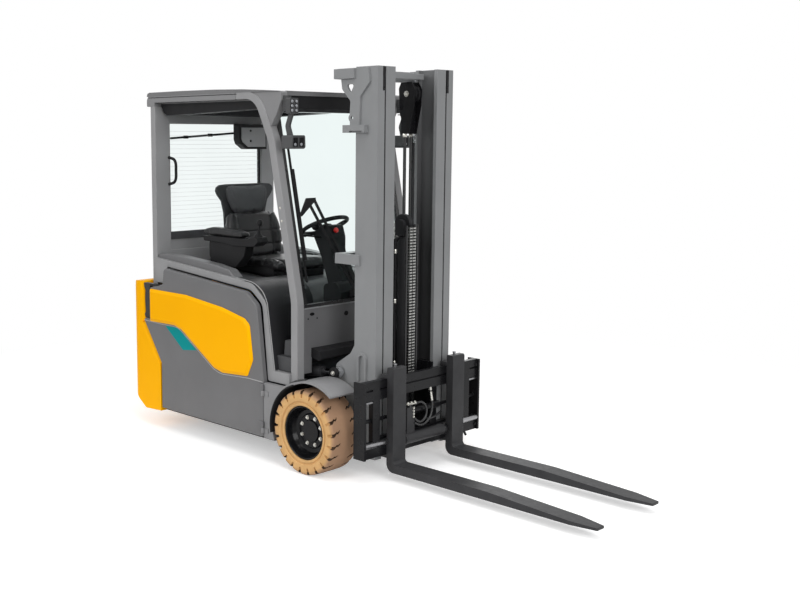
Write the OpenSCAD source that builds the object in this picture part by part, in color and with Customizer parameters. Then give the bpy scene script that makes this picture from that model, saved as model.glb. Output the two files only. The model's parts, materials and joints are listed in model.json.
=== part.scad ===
// Three-wheel electric forklift truck, millimetres.
// -Y is forward, +X is the operator's left, +Z is up; the front axle stands over the origin.

/* [Front wheels] */
// Outer diameter of the front tyres
front_tyre_d = 457; // [440:1:460]
// Width of the front tyres
front_tyre_w = 200; // [180:5:205]
// How far the front tyres stand out past the body sides
wheel_stand = 25; // [10:1:30]
// Lugs along each shoulder of a front tyre
front_lugs = 20; // [16:1:24]
// Diameter of the front rims where the tyres sit
front_rim_d = 292; // [280:2:300]

/* [Rear wheels] */
// Distance from the front axle to the steering axis
wheelbase = 1330; // [1320:5:1340]
// Outer diameter of the rear tyres
rear_tyre_d = 383; // [370:1:384]
// Width of each rear tyre
rear_tyre_w = 140; // [120:5:140]
// Distance between the middles of the twin rear tyres
rear_track = 190; // [190:2:196]
// Lugs along each shoulder of a rear tyre
rear_lugs = 16; // [12:1:20]

/* [Mast] */
// Height of the lowered mast
mast_height = 2150; // [2120:10:2300]
// Width over the outer rails
mast_width = 604; // [600:2:608]
// Front face of the mast ahead of the axle
mast_reach = 285; // [280:1:290]
// Depth of the rails
rail_depth = 153; // [150:1:156]
// Thickness of the rail flanges
flange_t = 23; // [18:1:24]

/* [Forks] */
// Length of the fork blades
fork_length = 1200; // [900:10:1200]
// Width of each fork
fork_width = 100; // [80:5:120]
// Thickness of the forks
fork_t = 45; // [35:1:45]
// Distance between the middles of the forks
fork_spread = 488; // [420:4:560]

/* [Body] */
// Width over the body sides
body_width = 1070; // [1040:2:1200]
// Step from the body sides in to the cab pillars
cab_inset = 50; // [45:1:60]
// Height of the roof
roof_z = 2040; // [2030:5:2090]
// Rear end behind the front axle
rear_end = 1606; // [1600:2:1640]
// Thickness of the window panes
glass_t = 6; // [4:1:8]

/* [Hidden] */
$fn = 64;
body_x = body_width / 2;
cab_x = body_x - cab_inset;
tyre_r = front_tyre_d / 2;
rim_r = front_rim_d / 2;
axle_z = tyre_r;
track_x = body_x + wheel_stand - front_tyre_w / 2;
rear_r = rear_tyre_d / 2;
rear_x = rear_track / 2;
rear_rim_r = 118;
notch_d = 15;
guard_r = tyre_r + 34;
guard_t = 10;
liner_t = 8;
fender_y = -40;
fender_r = tyre_r + 54;
run = 0.4;
pin_run = 0.1;
seat_gap = 0.3;
gap = 5;
axle_r = 70;
drum_r = 112;
spindle_r = 30;
skin = 30;
door_bevel = 5;
insert_t = 12;
insert_edge = 3;
insert_bevel = 18;
weight_bevel = 16;
rail_x = mast_width / 2;
rail_y0 = -mast_reach;
rail_y1 = rail_y0 + rail_depth;
rail_mid = (rail_y0 + rail_y1) / 2;
web_t = 18;
lip_x = rail_x - 52;
inner_x = lip_x - 10;
inner_w = 72;
inner_lip = inner_x - inner_w;
inner_web0 = inner_x - 44;
inner_web1 = inner_x - 28;
roller_r = (rail_depth - 2 * flange_t) / 2 - seat_gap;
rail_bottom = 88;
gusset_t = 12;
lift_x = 215;
lift_y = rail_y1 + 30.5;
lift_r = 25;
lift_rod_r = 16;
lift_head_z = mast_height - 38;
barrel_y = rail_y0 + 80;
barrel_r = 38;
free_rod_r = 24;
sheave_r = 52;
sheave_z = 1327;
chain_w = 26;
chain_waist = 15;
chain_pitch = 16;
chain_t = 12;
chain_front_y = barrel_y - sheave_r - chain_t / 2;
chain_back_y = barrel_y + sheave_r + chain_t / 2;
carriage_y0 = rail_y0 - 40;
carriage_t = 28;
carrier_y1 = carriage_y0 - gap;
carrier_t = 30;
carrier_y0 = carrier_y1 - carrier_t;
carrier_z0 = 136;
carrier_z1 = 542;
bar_h = 82;
carrier_x = 478;
shift_rod_r = 10;
shift_barrel_r = 19;
shift_rod_y = carrier_y0 + shift_barrel_r + gap;
shift_rod_z = 330;
fork_y1 = carrier_y0 - 1;
fork_y0 = fork_y1 - fork_t;
fork_x = fork_spread / 2;
fork_z0 = 44;
fork_top = 602;
fork_tip_y = fork_y0 - fork_length;
tilt_pin_y = -32;
tilt_pin_z = axle_z + 300.5;
tilt_rear_y = 290;
tilt_rear_z = 500;
tilt_x = 330;
tilt_pin_r = 15;
tilt_len = norm([tilt_pin_y - tilt_rear_y, tilt_pin_z - tilt_rear_z]);
tilt_turn = atan2(tilt_pin_z - tilt_rear_z, tilt_pin_y - tilt_rear_y);
well_r = norm([rear_x + rear_tyre_w / 2, rear_r]) + 12;
well_z = 2 * rear_r + 42;
kingpin_r = 50;
tow_pin_r = 17.5;
cowl_y = 118;
floor_z = 600;
sill_z0 = 450;
sill_z1 = 512;
pillar_t = 50;
recess_x = cab_x - 110;
recess_z = 645;
header_z = 1926;
deck_z = 860;
hinge_r = 8;
hinge_x = body_x + hinge_r + 1;
hinge_y = 337;
screen_lean = atan2(182, 875);
wheel_at = [0, 398, 1282];
wheel_lean = 24;
hub_h = 34;

// Box between two corners
module box(x, y, z) {
  translate([x[0], y[0], z[0]]) cube([x[1] - x[0], y[1] - y[0], z[1] - z[0]]);
}

// The same piece on both sides of the truck
module both_sides() {
  children();
  mirror([1, 0, 0]) children();
}

// Flat outline drawn in Y and Z, given a thickness across the truck
module across(x0, x1) {
  translate([x0, 0, 0]) rotate([90, 0, 90]) linear_extrude(x1 - x0) children();
}

// Flat outline drawn in X and Z, given a depth along the truck
module along(y0, y1) {
  translate([0, y1, 0]) rotate([90, 0, 0]) linear_extrude(y1 - y0) children();
}

// Round bar across the truck
module bar_x(r, x0, x1, y, z) {
  translate([x0, y, z]) rotate([0, 90, 0]) cylinder(r = r, h = x1 - x0);
}

// Upright round bar
module bar_z(r, x, y, z0, z1) {
  translate([x, y, z0]) cylinder(r = r, h = z1 - z0);
}

// One corner of an outline turned into an arc; points are [y, z, radius]
function unit(v) = v / norm(v);
function xy(p) = [p[0], p[1]];
function corner(a, c, b, r) =
  let (u = unit(xy(a) - xy(c)), v = unit(xy(b) - xy(c)), half = acos(u * v) / 2)
  let (mid = xy(c) + unit(u + v) * r / sin(half), s = xy(c) + u * r / tan(half),
    e = xy(c) + v * r / tan(half))
  let (a0 = atan2(s[1] - mid[1], s[0] - mid[0]), a1 = atan2(e[1] - mid[1], e[0] - mid[0]))
  let (d = a1 - a0, sweep = d > 180 ? d - 360 : d < -180 ? d + 360 : d, n = 6)
  [for (i = [0 : n]) mid + r * [cos(a0 + sweep * i / n), sin(a0 + sweep * i / n)]];
function rounded(p) = let (n = len(p)) [for (i = [0 : n - 1]) each
  p[i][2] > 0 ? corner(p[(i + n - 1) % n], p[i], p[(i + 1) % n], p[i][2]) : [xy(p[i])]];

// Outline moved inward by d all round; its points run counter-clockwise
function inward(a, b) = let (u = unit(xy(b) - xy(a))) [-u[1], u[0]];
function inset(p, d, least = 4) = let (n = len(p)) [for (i = [0 : n - 1])
  let (v = inward(p[(i + n - 1) % n], p[i]), w = inward(p[i], p[(i + 1) % n]),
    at = xy(p[i]) + d * (v + w) / (1 + v * w))
  let (turn = v[0] * w[1] - v[1] * w[0])
  [at[0], at[1], p[i][2] == 0 ? 0 : turn > 0 ? max(p[i][2] - d, least) : p[i][2] + d]];

// Solid through outlines with as many points each, at falling places across the truck.
// The first point of an outline must see all the others, as both ends are fans about it.
module loft(places, lines) {
  n = len(lines[0]);
  last = len(places) - 1;
  polyhedron([for (k = [0 : last], p = lines[k]) [places[k], p[0], p[1]]],
    concat([for (i = [1 : n - 2]) each [[0, i + 1, i], [last * n, last * n + i, last * n + i + 1]]],
      [for (k = [0 : last - 1], i = [0 : n - 1]) each let (a = k * n + i, b = k * n + (i + 1) % n)
        [[a, b, b + n], [a, b + n, a + n]]]));
}

// Side panel from x0 to x2 with its outer edge bevelled from x1 on
module panel(line, x0, x1, x2, d) loft([x0, x1, x2], [rounded(line), rounded(line), rounded(inset(line,
  d))]);

// Wheels and axles

// Points round a tyre: both edges of each lug, then the floor of the notch after it.
// A lug is a flat at the tyre's radius, and one lies straight below the axle.
lug_half = 0.36;
function lugged(r, notch, lugs) = [for (i = [0 : lugs - 1], p = [[-lug_half, 0], [lug_half, 0],
  [0.41, notch], [0.59, notch]])
  let (turn = 360 / lugs * (i + p[0])) (r / cos(360 / lugs * lug_half) - p[1]) * [cos(turn), sin(turn)]];
function ring(r, n) = [for (i = [0 : n - 1]) r * [cos(360 / n * i), sin(360 / n * i)]];

module tyre(r, w, bore, lugs) rotate([0, 90, 0]) difference() {
  union() {
    linear_extrude(0.44 * w, center = true) polygon(lugged(r, 0, lugs));
    for (side = [0, 1]) mirror([0, 0, side]) {
      translate([0, 0, 0.22 * w]) linear_extrude(0.25 * w, scale = 1 - 9 / r) polygon(lugged(r, notch_d,
        lugs));
      translate([0, 0, 0.46 * w]) linear_extrude(0.04 * w, scale = 1 - 14 / r) polygon(ring(r - 32,
        2 * lugs));
    }
  }
  cylinder(r = bore, h = w + 2, center = true);
}

// Wheel rim with its hub; outward is toward -X
module front_rim() {
  w = front_tyre_w;
  rotate([0, -90, 0]) rotate_extrude($fn = 96) polygon([
    [spindle_r + pin_run, -50], [64, -50], [64, 12], [rim_r - 30, 18], [rim_r - 16, -0.41 * w],
      [rim_r, -0.41 * w],
    [rim_r, 0.44 * w], [rim_r - 5, 0.46 * w], [rim_r - 10, 0.44 * w], [rim_r - 16, 0.3 * w],
      [rim_r - 30, 34],
    [96, 28], [90, 34], [62, 34], [58, 42], [0, 42], [0, 30], [spindle_r + pin_run, 30]]);
}

module rim_right() color("#202020") translate([-track_x, 0, axle_z]) front_rim();
module tyre_right() color("#cda56e") translate([-track_x, 0, axle_z]) tyre(tyre_r, front_tyre_w, rim_r,
  front_lugs);
module rim_left() color("#202020") mirror([1, 0, 0]) translate([-track_x, 0, axle_z]) front_rim();
module tyre_left() color("#cda56e") mirror([1, 0, 0]) translate([-track_x, 0, axle_z])
  tyre(tyre_r, front_tyre_w, rim_r, front_lugs);

module drive_axle() color("#303234") {
  bar_x(axle_r, -track_x + 152, track_x - 152, 0, axle_z);
  both_sides() {
    bar_x(drum_r, -track_x + 58, -track_x + 154, 0, axle_z);
    bar_x(spindle_r, -track_x - 20, -track_x + 60, 0, axle_z);
  }
}

module steer_bracket() color("#303234") difference() {
  union() {
    bar_z(kingpin_r, 0, wheelbase, 2 * rear_r + 20, well_z + 95);
    bar_z(150, 0, wheelbase, 2 * rear_r + 7, 2 * rear_r + 32);
    box([-18, 18], [wheelbase - 50, wheelbase + 50], [rear_r, 2 * rear_r + 10]);
    bar_x(50, -18, 18, wheelbase, rear_r);
  }
  bar_x(25 + pin_run, -20, 20, wheelbase, rear_r);
}

module rear_rims() color("#202020") translate([0, wheelbase, rear_r]) {
  bar_x(25, -rear_x - 20, rear_x + 20, 0, 0);
  both_sides() translate([-rear_x, 0, 0]) rotate([0, -90, 0]) rotate_extrude($fn = 72) polygon([
    [20, -10], [90, -6], [rear_rim_r - 14, -0.41 * rear_tyre_w], [rear_rim_r, -0.41 * rear_tyre_w],
    [rear_rim_r, 0.41 * rear_tyre_w], [rear_rim_r - 12, 0.41 * rear_tyre_w], [90, 12], [48, 14], [40, 30],
      [20, 30]]);
}

module rear_tyres() color("#cda56e") both_sides()
  translate([-rear_x, wheelbase, rear_r]) tyre(rear_r, rear_tyre_w, rear_rim_r, rear_lugs);

// Chassis

module chassis_frame() color("#3a3b3d") {
  difference() {
    union() {
      box([-body_x + 45, body_x - 45], [300, 1292], [112, 142]);
      box([-body_x + 45, body_x - 45], [300, 318], [112, sill_z0]);
      both_sides() {
        across(-160, -120) difference() {
          polygon([[-78, 150], [40, 130], [305, 130], [305, 440], [120, 440], [-78, 310]]);
          translate([0, axle_z]) circle(r = axle_r);
        }
        across(-296, -276) polygon([[250, 430], [330, 430], [330, 505], [305, 530], [275, 530],
          [250, 505]]);
        box([-296, -120], [120, 318], [425, 440]);
        bar_x(tilt_pin_r, -tilt_x - 22, -280, tilt_rear_y, tilt_rear_z);
      }
    }
    bar_z(well_r, 0, wheelbase, 0, 300);
  }
}

// Side outline of the counterweight
weight_line = [[1292, 112, 0], [1450, 104, 30], [rear_end - 30, 190, 40], [rear_end, 330, 60],
  [rear_end, 760, 120], [1545, 905, 24], [1468, 905, 12], [1462, 655, 10], [1292, 411, 10]];

// Its outline seen from above, with a short rounded corner on each side
weight_corner = [110, 34];
weight_plan = [[-body_x, 1250, 0], [-body_x, rear_end - weight_corner[1], 80],
  [-body_x + weight_corner[0], rear_end + 4, 150], [0, rear_end + 24, 900],
  [body_x - weight_corner[0], rear_end + 4, 150], [body_x, rear_end - weight_corner[1], 80],
  [body_x, 1250, 0]];

// Corner cut off along a straight edge of the right side, from a to b counter-clockwise round the outline
module edge_cut(a, b, d) translate([-body_x, a[0], a[1]]) rotate([atan2(b[1] - a[1], b[0] - a[0]), 0, 0])
  along(0, norm(xy(b) - xy(a))) polygon([[-1, -1], [d + 1, -1], [-1, d + 1]]);

module counterweight() color("#f2b010") difference() {
  union() {
    intersection() {
      across(-body_x, body_x) polygon(rounded(weight_line));
      linear_extrude(1200) polygon(rounded(weight_plan));
    }
    box([-body_x + 45, body_x - 45], [wheelbase - 220, wheelbase + 170], [well_z - 20, deck_z]);
  }
  // bevel along the doors
  both_sides() for (i = [6, 7]) edge_cut(weight_line[i], weight_line[i + 1], weight_bevel);
  bar_z(well_r, 0, wheelbase, 0, well_z);
  bar_z(kingpin_r + run, 0, wheelbase, well_z - 1, well_z + 100);
  // towing slot, and the hole of the pin that drops in from the top
  box([-70, 70], [rear_end - 90, rear_end + 60], [480, 580]);
  bar_z(tow_pin_r, 0, rear_end - 45, well_z + 15, deck_z + 100);
}

module battery() color("#505458") box([-body_x + 120, body_x - 120], [428, wheelbase - well_r - 20],
  [142, 800]);

// Outline of a battery door in Y and Z
door_line = [[340, 134, 20], [1282, 134, 0], [1282, 414, 10], [1452, 658, 6], [1452, 676, 6],
  [1392, 676, 0],
  [1392, 872, 12], [1262, 902, 20], [1248, 1002, 20], [486, 936, 70], [394, 868, 60], [340, 450, 30]];

module door(x0) {
  panel(door_line, x0 + skin, x0 + door_bevel, x0, door_bevel);
  for (z = [190, 400]) {
    box([x0 - 4, x0 + door_bevel], [hinge_y + 10, hinge_y + 40], [z, z + 34]);
    difference() {
      union() {
        bar_z(hinge_r, -hinge_x, hinge_y, z, z + 34);
        box([-hinge_x, x0], [hinge_y + 4, hinge_y + 14], [z, z + 34]);
      }
      bar_z(4 + pin_run, -hinge_x, hinge_y, z - 1, z + 40);
    }
  }
}

// Raised panel on the door
insert_line = [[493, 786, 40], [449, 754, 40], [422, 559, 30], [470, 460, 20], [689, 446, 60],
  [769, 464, 60], [1073, 649, 60], [1145, 667, 40], [1388, 663, 6], [1388, 865, 12], [1026, 863, 500],
  [685, 826, 300]];

module door_insert(x0) panel(insert_line, x0, x0 - insert_edge, x0 - insert_t, insert_bevel);

module door_right() color("#77787a") door(-body_x);
module door_insert_right() color("#f2b010") door_insert(-body_x);
module door_left() color("#77787a") mirror([1, 0, 0]) door(-body_x);
module door_insert_left() color("#f2b010") mirror([1, 0, 0]) door_insert(-body_x);

// Side frame that runs round each door from the rear pillar to the front pillar
module body_rims() color("#77787a") both_sides() across(-cab_x - 15, -cab_x + 30)
  polygon(rounded([[1376, 905, 0], [1376, 1056, 0], [1240, 1046, 300], [466, 982, 100], [352, 886, 90],
    [290, sill_z1, 12],
    [cowl_y + pillar_t, sill_z1, 0], [cowl_y + pillar_t, sill_z0, 0], [330, sill_z0, 0], [340, 456, 0],
      [384, 872, 66],
    [482, 944, 74], [1256, 1010, 10], [1270, 905, 0]]));

module seat_hood() color("#4c4d50") across(-cab_x + 30, cab_x - 30)
  polygon(rounded([[345, 515, 0], [398, 850, 60], [480, 952, 90], [1240, 1012, 60], [1374, 1012, 0],
    [1374, 892, 0],
    [1262, 892, 0], [1262, 985, 30], [500, 925, 80], [416, 842, 60], [362, 515, 0]]));

module front_cowl() color("#6c6d70") along(cowl_y, cowl_y + 12) difference() {
  polygon([[-cab_x + pillar_t, sill_z1], [cab_x - pillar_t, sill_z1], [cab_x - pillar_t, 880],
    [-cab_x + pillar_t, 880]]);
  polygon(rounded([[-recess_x, sill_z1 - 5, 0], [recess_x, sill_z1 - 5, 0], [recess_x, recess_z, 30],
    [-recess_x, recess_z, 30]]));
}

// Black ledge under the cowl, above the tilt cylinders
module front_ledge() color("#1d1d1f") across(-recess_x - 5, recess_x + 5) polygon(rounded([[cowl_y,
  recess_z + 5, 0],
  [cowl_y - 62, recess_z - 8, 8], [cowl_y - 78, recess_z - 48, 8], [cowl_y - 60, recess_z - 60, 8],
    [cowl_y, recess_z - 45, 0]]));

module floor_plate() color("#2c2d2f") {
  box([-cab_x + 60, cab_x - 60], [cowl_y + 14, 352], [floor_z - 12, floor_z]);
  box([-cab_x + 60, cab_x - 60], [cowl_y + 14, cowl_y + 24], [floor_z - 12, 878]);
  both_sides() box([-cab_x + 60, -cab_x + 72], [cowl_y + 14, 335], [guard_z(cowl_y + 14) + seat_gap,
    floor_z]);
  // brake and drive pedals on arms from the front wall
  for (x = [-195, -285]) {
    translate([x, 225, 660]) rotate([35, 0, 0]) box([0, 64], [-8, 0], [-50, 60]);
    across(x + 26, x + 38) polygon([[cowl_y + 20, 690], [cowl_y + 20, 720], [225, 668], [225, 648]]);
  }
}

// Top of a wheel guard at a place along the truck
function guard_z(y) = axle_z + sqrt(pow(guard_r + guard_t, 2) - pow(y, 2));

// Sector that opens upward and to the rear round the front axle
module behind_axle(y) translate([y, axle_z - 45]) square([500, 700]);

module mudguards() color("#8b8d90") both_sides() {
  across(-track_x - 96, -track_x + 95) {
    intersection() {
      translate([0, axle_z]) difference() {
        circle(r = guard_r + guard_t);
        circle(r = guard_r);
      }
      behind_axle(fender_y + 100);
    }
    // front part, flatter than the wheel
    intersection() {
      translate([fender_y, axle_z]) difference() {
        circle(r = fender_r);
        circle(r = fender_r - guard_t);
      }
      polygon([[fender_y + 112, axle_z + 200], [fender_y + 112, axle_z + 400],
        [fender_y - 260, axle_z + 400],
        [fender_y - 150, axle_z + 200]]);
    }
  }
  across(-body_x, -body_x + skin) difference() {
    polygon([[200, 132], [334, 132], [334, sill_z0 - 6], [60, sill_z0 - 6]]);
    translate([0, axle_z]) circle(r = guard_r + guard_t / 2);
  }
  // pins of the door hinges
  for (z = [190, 400]) {
    bar_z(4, -hinge_x, hinge_y, z - 24, z + 34);
    bar_z(hinge_r, -hinge_x, hinge_y, z - 28, z - 1);
    box([-body_x - 4, -body_x], [hinge_y - 40, hinge_y - 6], [z - 28, z - 1]);
    box([-hinge_x, -body_x], [hinge_y - 12, hinge_y - 5], [z - 28, z - 1]);
  }
}

// Black lining inside the guards
module wheel_liners() color("#161616") both_sides() across(-track_x - 100, -track_x + 95) intersection() {
  translate([0, axle_z]) difference() {
    circle(r = guard_r - seat_gap);
    circle(r = guard_r - liner_t);
  }
  behind_axle(fender_y + 120);
}

// Cab

// Front edge of a front pillar at a height on its straight run
function pillar_y(z) = cowl_y + (z - 905) * tan(screen_lean);

module pillar_line() polygon(rounded([[cowl_y, sill_z0, 0], [cowl_y, 905, 300], [300, 1780, 260],
  [420, roof_z, 180],
  [620, roof_z, 0], [620, roof_z - 42, 0], [462, roof_z - 42, 120], [350, 1770, 240],
    [cowl_y + pillar_t, 900, 300],
  [cowl_y + pillar_t, sill_z0, 0]]));

module front_pillars() color("#77787a") both_sides() across(-cab_x, -cab_x + pillar_t) difference() {
  pillar_line();
  translate([0, axle_z]) circle(r = guard_r + guard_t + seat_gap);
}

module rear_pillars() color("#77787a") {
  both_sides() box([-cab_x, -cab_x + 108], [1376, 1421], [deck_z, roof_z - 66]);
  box([-cab_x + 108, cab_x - 108], [1380, 1418], [890, 1094]);
}

module roof_frame() color("#6c6d70") {
  both_sides() {
    box([-cab_x, -cab_x + pillar_t], [620, 1400], [roof_z - 42, roof_z]);
    box([-cab_x + pillar_t, -cab_x + pillar_t + 20], [header_y, 1390], [roof_z - 50, roof_z - 14]);
    // corner plate ahead of the pillar's bend
    across(-cab_x + 6, -cab_x + pillar_t) difference() {
      polygon(rounded([[249, roof_z - 4, 14], [249, 1988, 10], [288, 1912, 10], [330, 1850, 0],
        [400, 1960, 0], [430, 2005, 0], [520, roof_z - 4, 0]]));
      pillar_line();
    }
  }
  across(-cab_x, cab_x) polygon(rounded([[1380, roof_z, 0], [1380, roof_z - 66, 0],
    [1456, roof_z - 66, 8], [1456, roof_z, 34]]));
  for (y = [520, 690, 860, 1030, 1200])
    box([-cab_x + pillar_t, cab_x - pillar_t], [y, y + 34], [roof_z - 50, roof_z - 14]);
}

// Rear face of the header over the windscreen
header_y = pillar_y(header_z) + 22;

// Dark header over the windscreen and lining under the roof's edges
module roof_liner() color("#1d1d1f") {
  across(-cab_x + pillar_t, cab_x - pillar_t) polygon(rounded([[262, roof_z - 4, 16],
    [262, header_z + 20, 14],
    [278, header_z, 8], [header_y, header_z, 0], [header_y, roof_z - 4, 0]]));
  difference() {
    across(-cab_x + pillar_t, cab_x - pillar_t) polygon(rounded([[header_y + 8, roof_z - 50, 0],
      [header_y + 38, roof_z - 92, 30], [1340, roof_z - 120, 60], [1376, roof_z - 66, 0],
        [1376, roof_z - 50, 0]]));
    linear_extrude(3000) polygon(rounded([[-345, 500, 60], [345, 500, 60], [345, 1230, 60],
      [-345, 1230, 60]]));
  }
}

module roof_panel() color("#a8b4b4", 0.4)
  box([-cab_x + pillar_t, cab_x - pillar_t], [header_y, 1380], [roof_z - 14, roof_z - 14 + glass_t]);

module windscreen() color("#bcd6cc", 0.4)
  across(-cab_x + pillar_t, cab_x - pillar_t)
    polygon([[pillar_y(880) + 8, 880], [pillar_y(880) + 8 + glass_t, 880],
      [pillar_y(header_z) + 8 + glass_t, header_z], [pillar_y(header_z) + 8, header_z]]);

module rear_window() color("#bcd6cc", 0.4)
  box([-cab_x + 108, cab_x - 108], [1396, 1396 + glass_t], [1094, roof_z - 66]);

// Top of the hood at a place along the truck
function hood_z(y) = 952 + (y - 480) * 60 / 760;

module seat_base() color("#2c2d2f") {
  across(-190, 190) polygon([[600, hood_z(600)], [960, hood_z(960)], [960, 1010], [600, 1010]]);
  both_sides() box([-220, -188], [600, 985], [995, 1040]);
}

module seat_cushion() color("#1d1d1f") difference() {
  intersection() {
    across(-240, 240) polygon(rounded([[545, 1010, 20], [985, 1010, 0], [985, 1070, 30], [700, 1070, 200],
      [590, 1088, 60],
      [545, 1070, 24]]));
    linear_extrude(1200) polygon(rounded([[-240, 545, 90], [240, 545, 90], [240, 985, 30],
      [-240, 985, 30]]));
  }
  both_sides() box([-221, -187], [599, 986], [1000, 1040]);
}

module seat_back() color("#1d1d1f") intersection() {
  across(-240, 240) polygon(rounded([[985, 1040, 0], [1060, 1020, 30], [1136, 1500, 20], [1066, 1508, 26],
    [1020, 1330, 200],
    [1000, 1180, 120]]));
  along(900, 1200) polygon(rounded([[-215, 1000, 0], [215, 1000, 0], [225, 1230, 80], [195, 1300, 80],
    [205, 1520, 70],
    [-205, 1520, 70], [-195, 1300, 80], [-225, 1230, 80]]));
}

module armrest() color("#2c2d2f") {
  across(-380, -285) polygon(rounded([[560, 1200, 20], [700, 1165, 40], [930, 1185, 40], [1070, 1225, 14],
    [1070, 1258, 14],
    [800, 1262, 60], [740, 1245, 40], [560, 1245, 20]]));
  across(-360, -300) polygon([[780, hood_z(780)], [930, hood_z(930)], [930, 1200], [780, 1190]]);
  bar_z(10, -330, 590, 1240, 1300);
  translate([-330, 590, 1306]) sphere(r = 20);
}

// Steering wheel's centre, with its axis upward
module on_column() translate(wheel_at) rotate([-wheel_lean, 0, 0]) children();

module steering_column() color("#2c2d2f") {
  on_column() across(-58, 58) polygon(rounded([[-62, -380, 0], [56, -380, 0], [44, -170, 60],
    [58, -hub_h / 2, 10],
    [-84, -hub_h / 2, 24], [-76, -100, 50], [-44, -170, 60]]));
  across(-125, 125) polygon(rounded([[cowl_y + 24, floor_z, 0], [250, floor_z, 0], [282, 880, 40],
    [282, 960, 30],
    [190, 985, 40], [cowl_y + 24, 930, 0]]));
}

module steering_wheel() color("#1d1d1f") on_column() {
  rotate_extrude() translate([150, 0]) circle(r = 14, $fn = 24);
  cylinder(r = 42, h = hub_h, center = true);
  for (a = [90, 210, 330]) rotate([0, 0, a]) translate([30, -12, -7]) cube([112, 24, 14]);
}

module headlamps() color("#1d1d1f") both_sides() {
  // upper lamp with fins behind it
  along(172, 206) polygon(rounded([[-cab_x - 2, 1912, 8], [-cab_x + 60, 1912, 8], [-cab_x + 60, 1996, 8],
    [-cab_x - 2, 1996, 8]]));
  for (i = [0 : 5]) box([-cab_x + 4, -cab_x + 54], [206, 228], [1918 + 13 * i, 1923 + 13 * i]);
  box([-cab_x + 18, -cab_x + 40], [206, 249], [1930, 2010]);
  // arm and lower lamp
  across(-cab_x + 22, -cab_x + 36) polygon(rounded([[180, 1912, 0], [210, 1912, 0], [236, 1850, 30],
    [222, 1798, 0],
    [186, 1798, 0], [206, 1850, 30]]));
  difference() {
    along(150, 235) polygon(rounded([[-cab_x - 8, 1728, 10], [-cab_x + 92, 1728, 16],
      [-cab_x + 88, 1800, 10], [-cab_x - 4, 1800, 10]]));
    for (x = [2, 46]) along(140, 156) translate([-cab_x + x, 1738]) square([34, 50]);
  }
}

// Wiper on the windscreen: upright blade at the right, two arms that run down to the pivots
module wipers() color("#1d1d1f") translate([0, pillar_y(880) + 8, 880]) rotate([-screen_lean, 0, 0]) {
  box([-394, -388], [-14, 0], [130, 870]);
  box([-399, -383], [-24, -14], [250, 750]);
  for (shift = [0, 52]) along(-34, -24) polygon([[-330 + shift, 574], [-318 + shift, 580],
    [-44 + shift / 2, 52], [-56 + shift / 2, 46]]);
  along(-34, -24) polygon([[-399, 488], [-383, 488], [-262, 572], [-262, 586], [-330, 586]]);
  along(-40, 0) polygon([[-70, 20], [0, 20], [0, 60], [-70, 60]]);
}

// Mast

module c_rail() linear_extrude(mast_height - rail_bottom) difference() {
  translate([-rail_x, rail_y0]) square([rail_x - lip_x, rail_depth]);
  translate([-rail_x + web_t, rail_y0 + flange_t]) square([rail_x, rail_depth - 2 * flange_t]);
}

module outer_rails() color("#8d8f92") both_sides() {
  translate([0, 0, rail_bottom]) c_rail();
  // foot on the axle
  across(-rail_x, -rail_x + 55) difference() {
    union() {
      polygon([[rail_y1 - 20, 130], [0, 126], [60, 190], [60, 270], [0, 334], [rail_y1 - 20, 420]]);
      translate([0, axle_z]) circle(r = 104);
    }
    translate([0, axle_z]) circle(r = axle_r + run);
    translate([rail_y1 - 22, 0]) square([22, 500]);
  }
  // ear for the tilt cylinder
  across(-rail_x, -rail_x + web_t) polygon(rounded([[rail_y1 - 1, 690, 0], [rail_y1 + 30, 640, 20],
    [tilt_pin_y + 36, tilt_pin_z + 40, 30], [tilt_pin_y + 36, tilt_pin_z - 40, 30], [rail_y1 + 60, 400, 20],
    [rail_y1 + 60, 330, 0], [rail_y1 - 1, 330, 0]]));
  bar_x(tilt_pin_r, -tilt_x - 22, -rail_x + 4, tilt_pin_y, tilt_pin_z);
  // roller that guides the inner rail
  bar_x(20, -rail_x + 4, -inner_x + 6, rail_mid, mast_height - 90);
  bar_x(roller_r, -inner_x + 2, -inner_web1 - 4, rail_mid, mast_height - 90);
}

module outer_crossbars() color("#8d8f92") {
  for (z = [mast_height - 59, 1120]) box([-rail_x, rail_x], [-55, 5], [z, z + 54]);
  both_sides() {
    // side plate at the top with its window and ring
    across(-rail_x - gusset_t, -rail_x) difference() {
      union() {
        polygon(rounded([[-227, mast_height - 6, 0], [-239, 2072, 20], [-172, 1999, 20], [-166, 1850, 0],
          [-100, 1850, 0],
          [-99, 1917, 16], [-103, 1976, 20], [-43, 2037, 16], [-35, 2088, 0], [-35, mast_height - 6, 0]]));
        translate([-112, 1889]) circle(r = 22);
      }
      polygon(rounded([[-74, 2062, 8], [-131, 2062, 10], [-104, 2015, 8]]));
      translate([-114, 1889]) circle(r = 9);
    }
    box([-rail_x - 26, -rail_x], [-139, 5], [mast_height - 59, mast_height - 8]);
    difference() {
      box([-rail_x - 30, -rail_x], [-218, -64], [1812, 1852]);
      box([-rail_x - 31, -rail_x - gusset_t], [-200, -110], [1805, 1822]);
    }
    box([-rail_x - gusset_t, -rail_x], [rail_y1 - 40, 5], [1120, 1174]);
    // loop on the rail's side
    across(-rail_x - 14, -rail_x) difference() {
      polygon(rounded([[-226, 505, 0], [-160, 505, 0], [-160, 656, 32], [-226, 656, 32]]));
      polygon(rounded([[-212, 500, 0], [-174, 500, 0], [-174, 642, 18.5], [-212, 642, 18.5]]));
    }
  }
  box([-rail_x + web_t, rail_x - web_t], [rail_y1 + gap, -58], [rail_bottom, 118]);
}

module lift_barrels() color("#2b2c2e") both_sides() difference() {
  bar_z(lift_r, -lift_x, lift_y, 118, 1760);
  bar_z(lift_rod_r + run, -lift_x, lift_y, 130, 1761);
}

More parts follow.
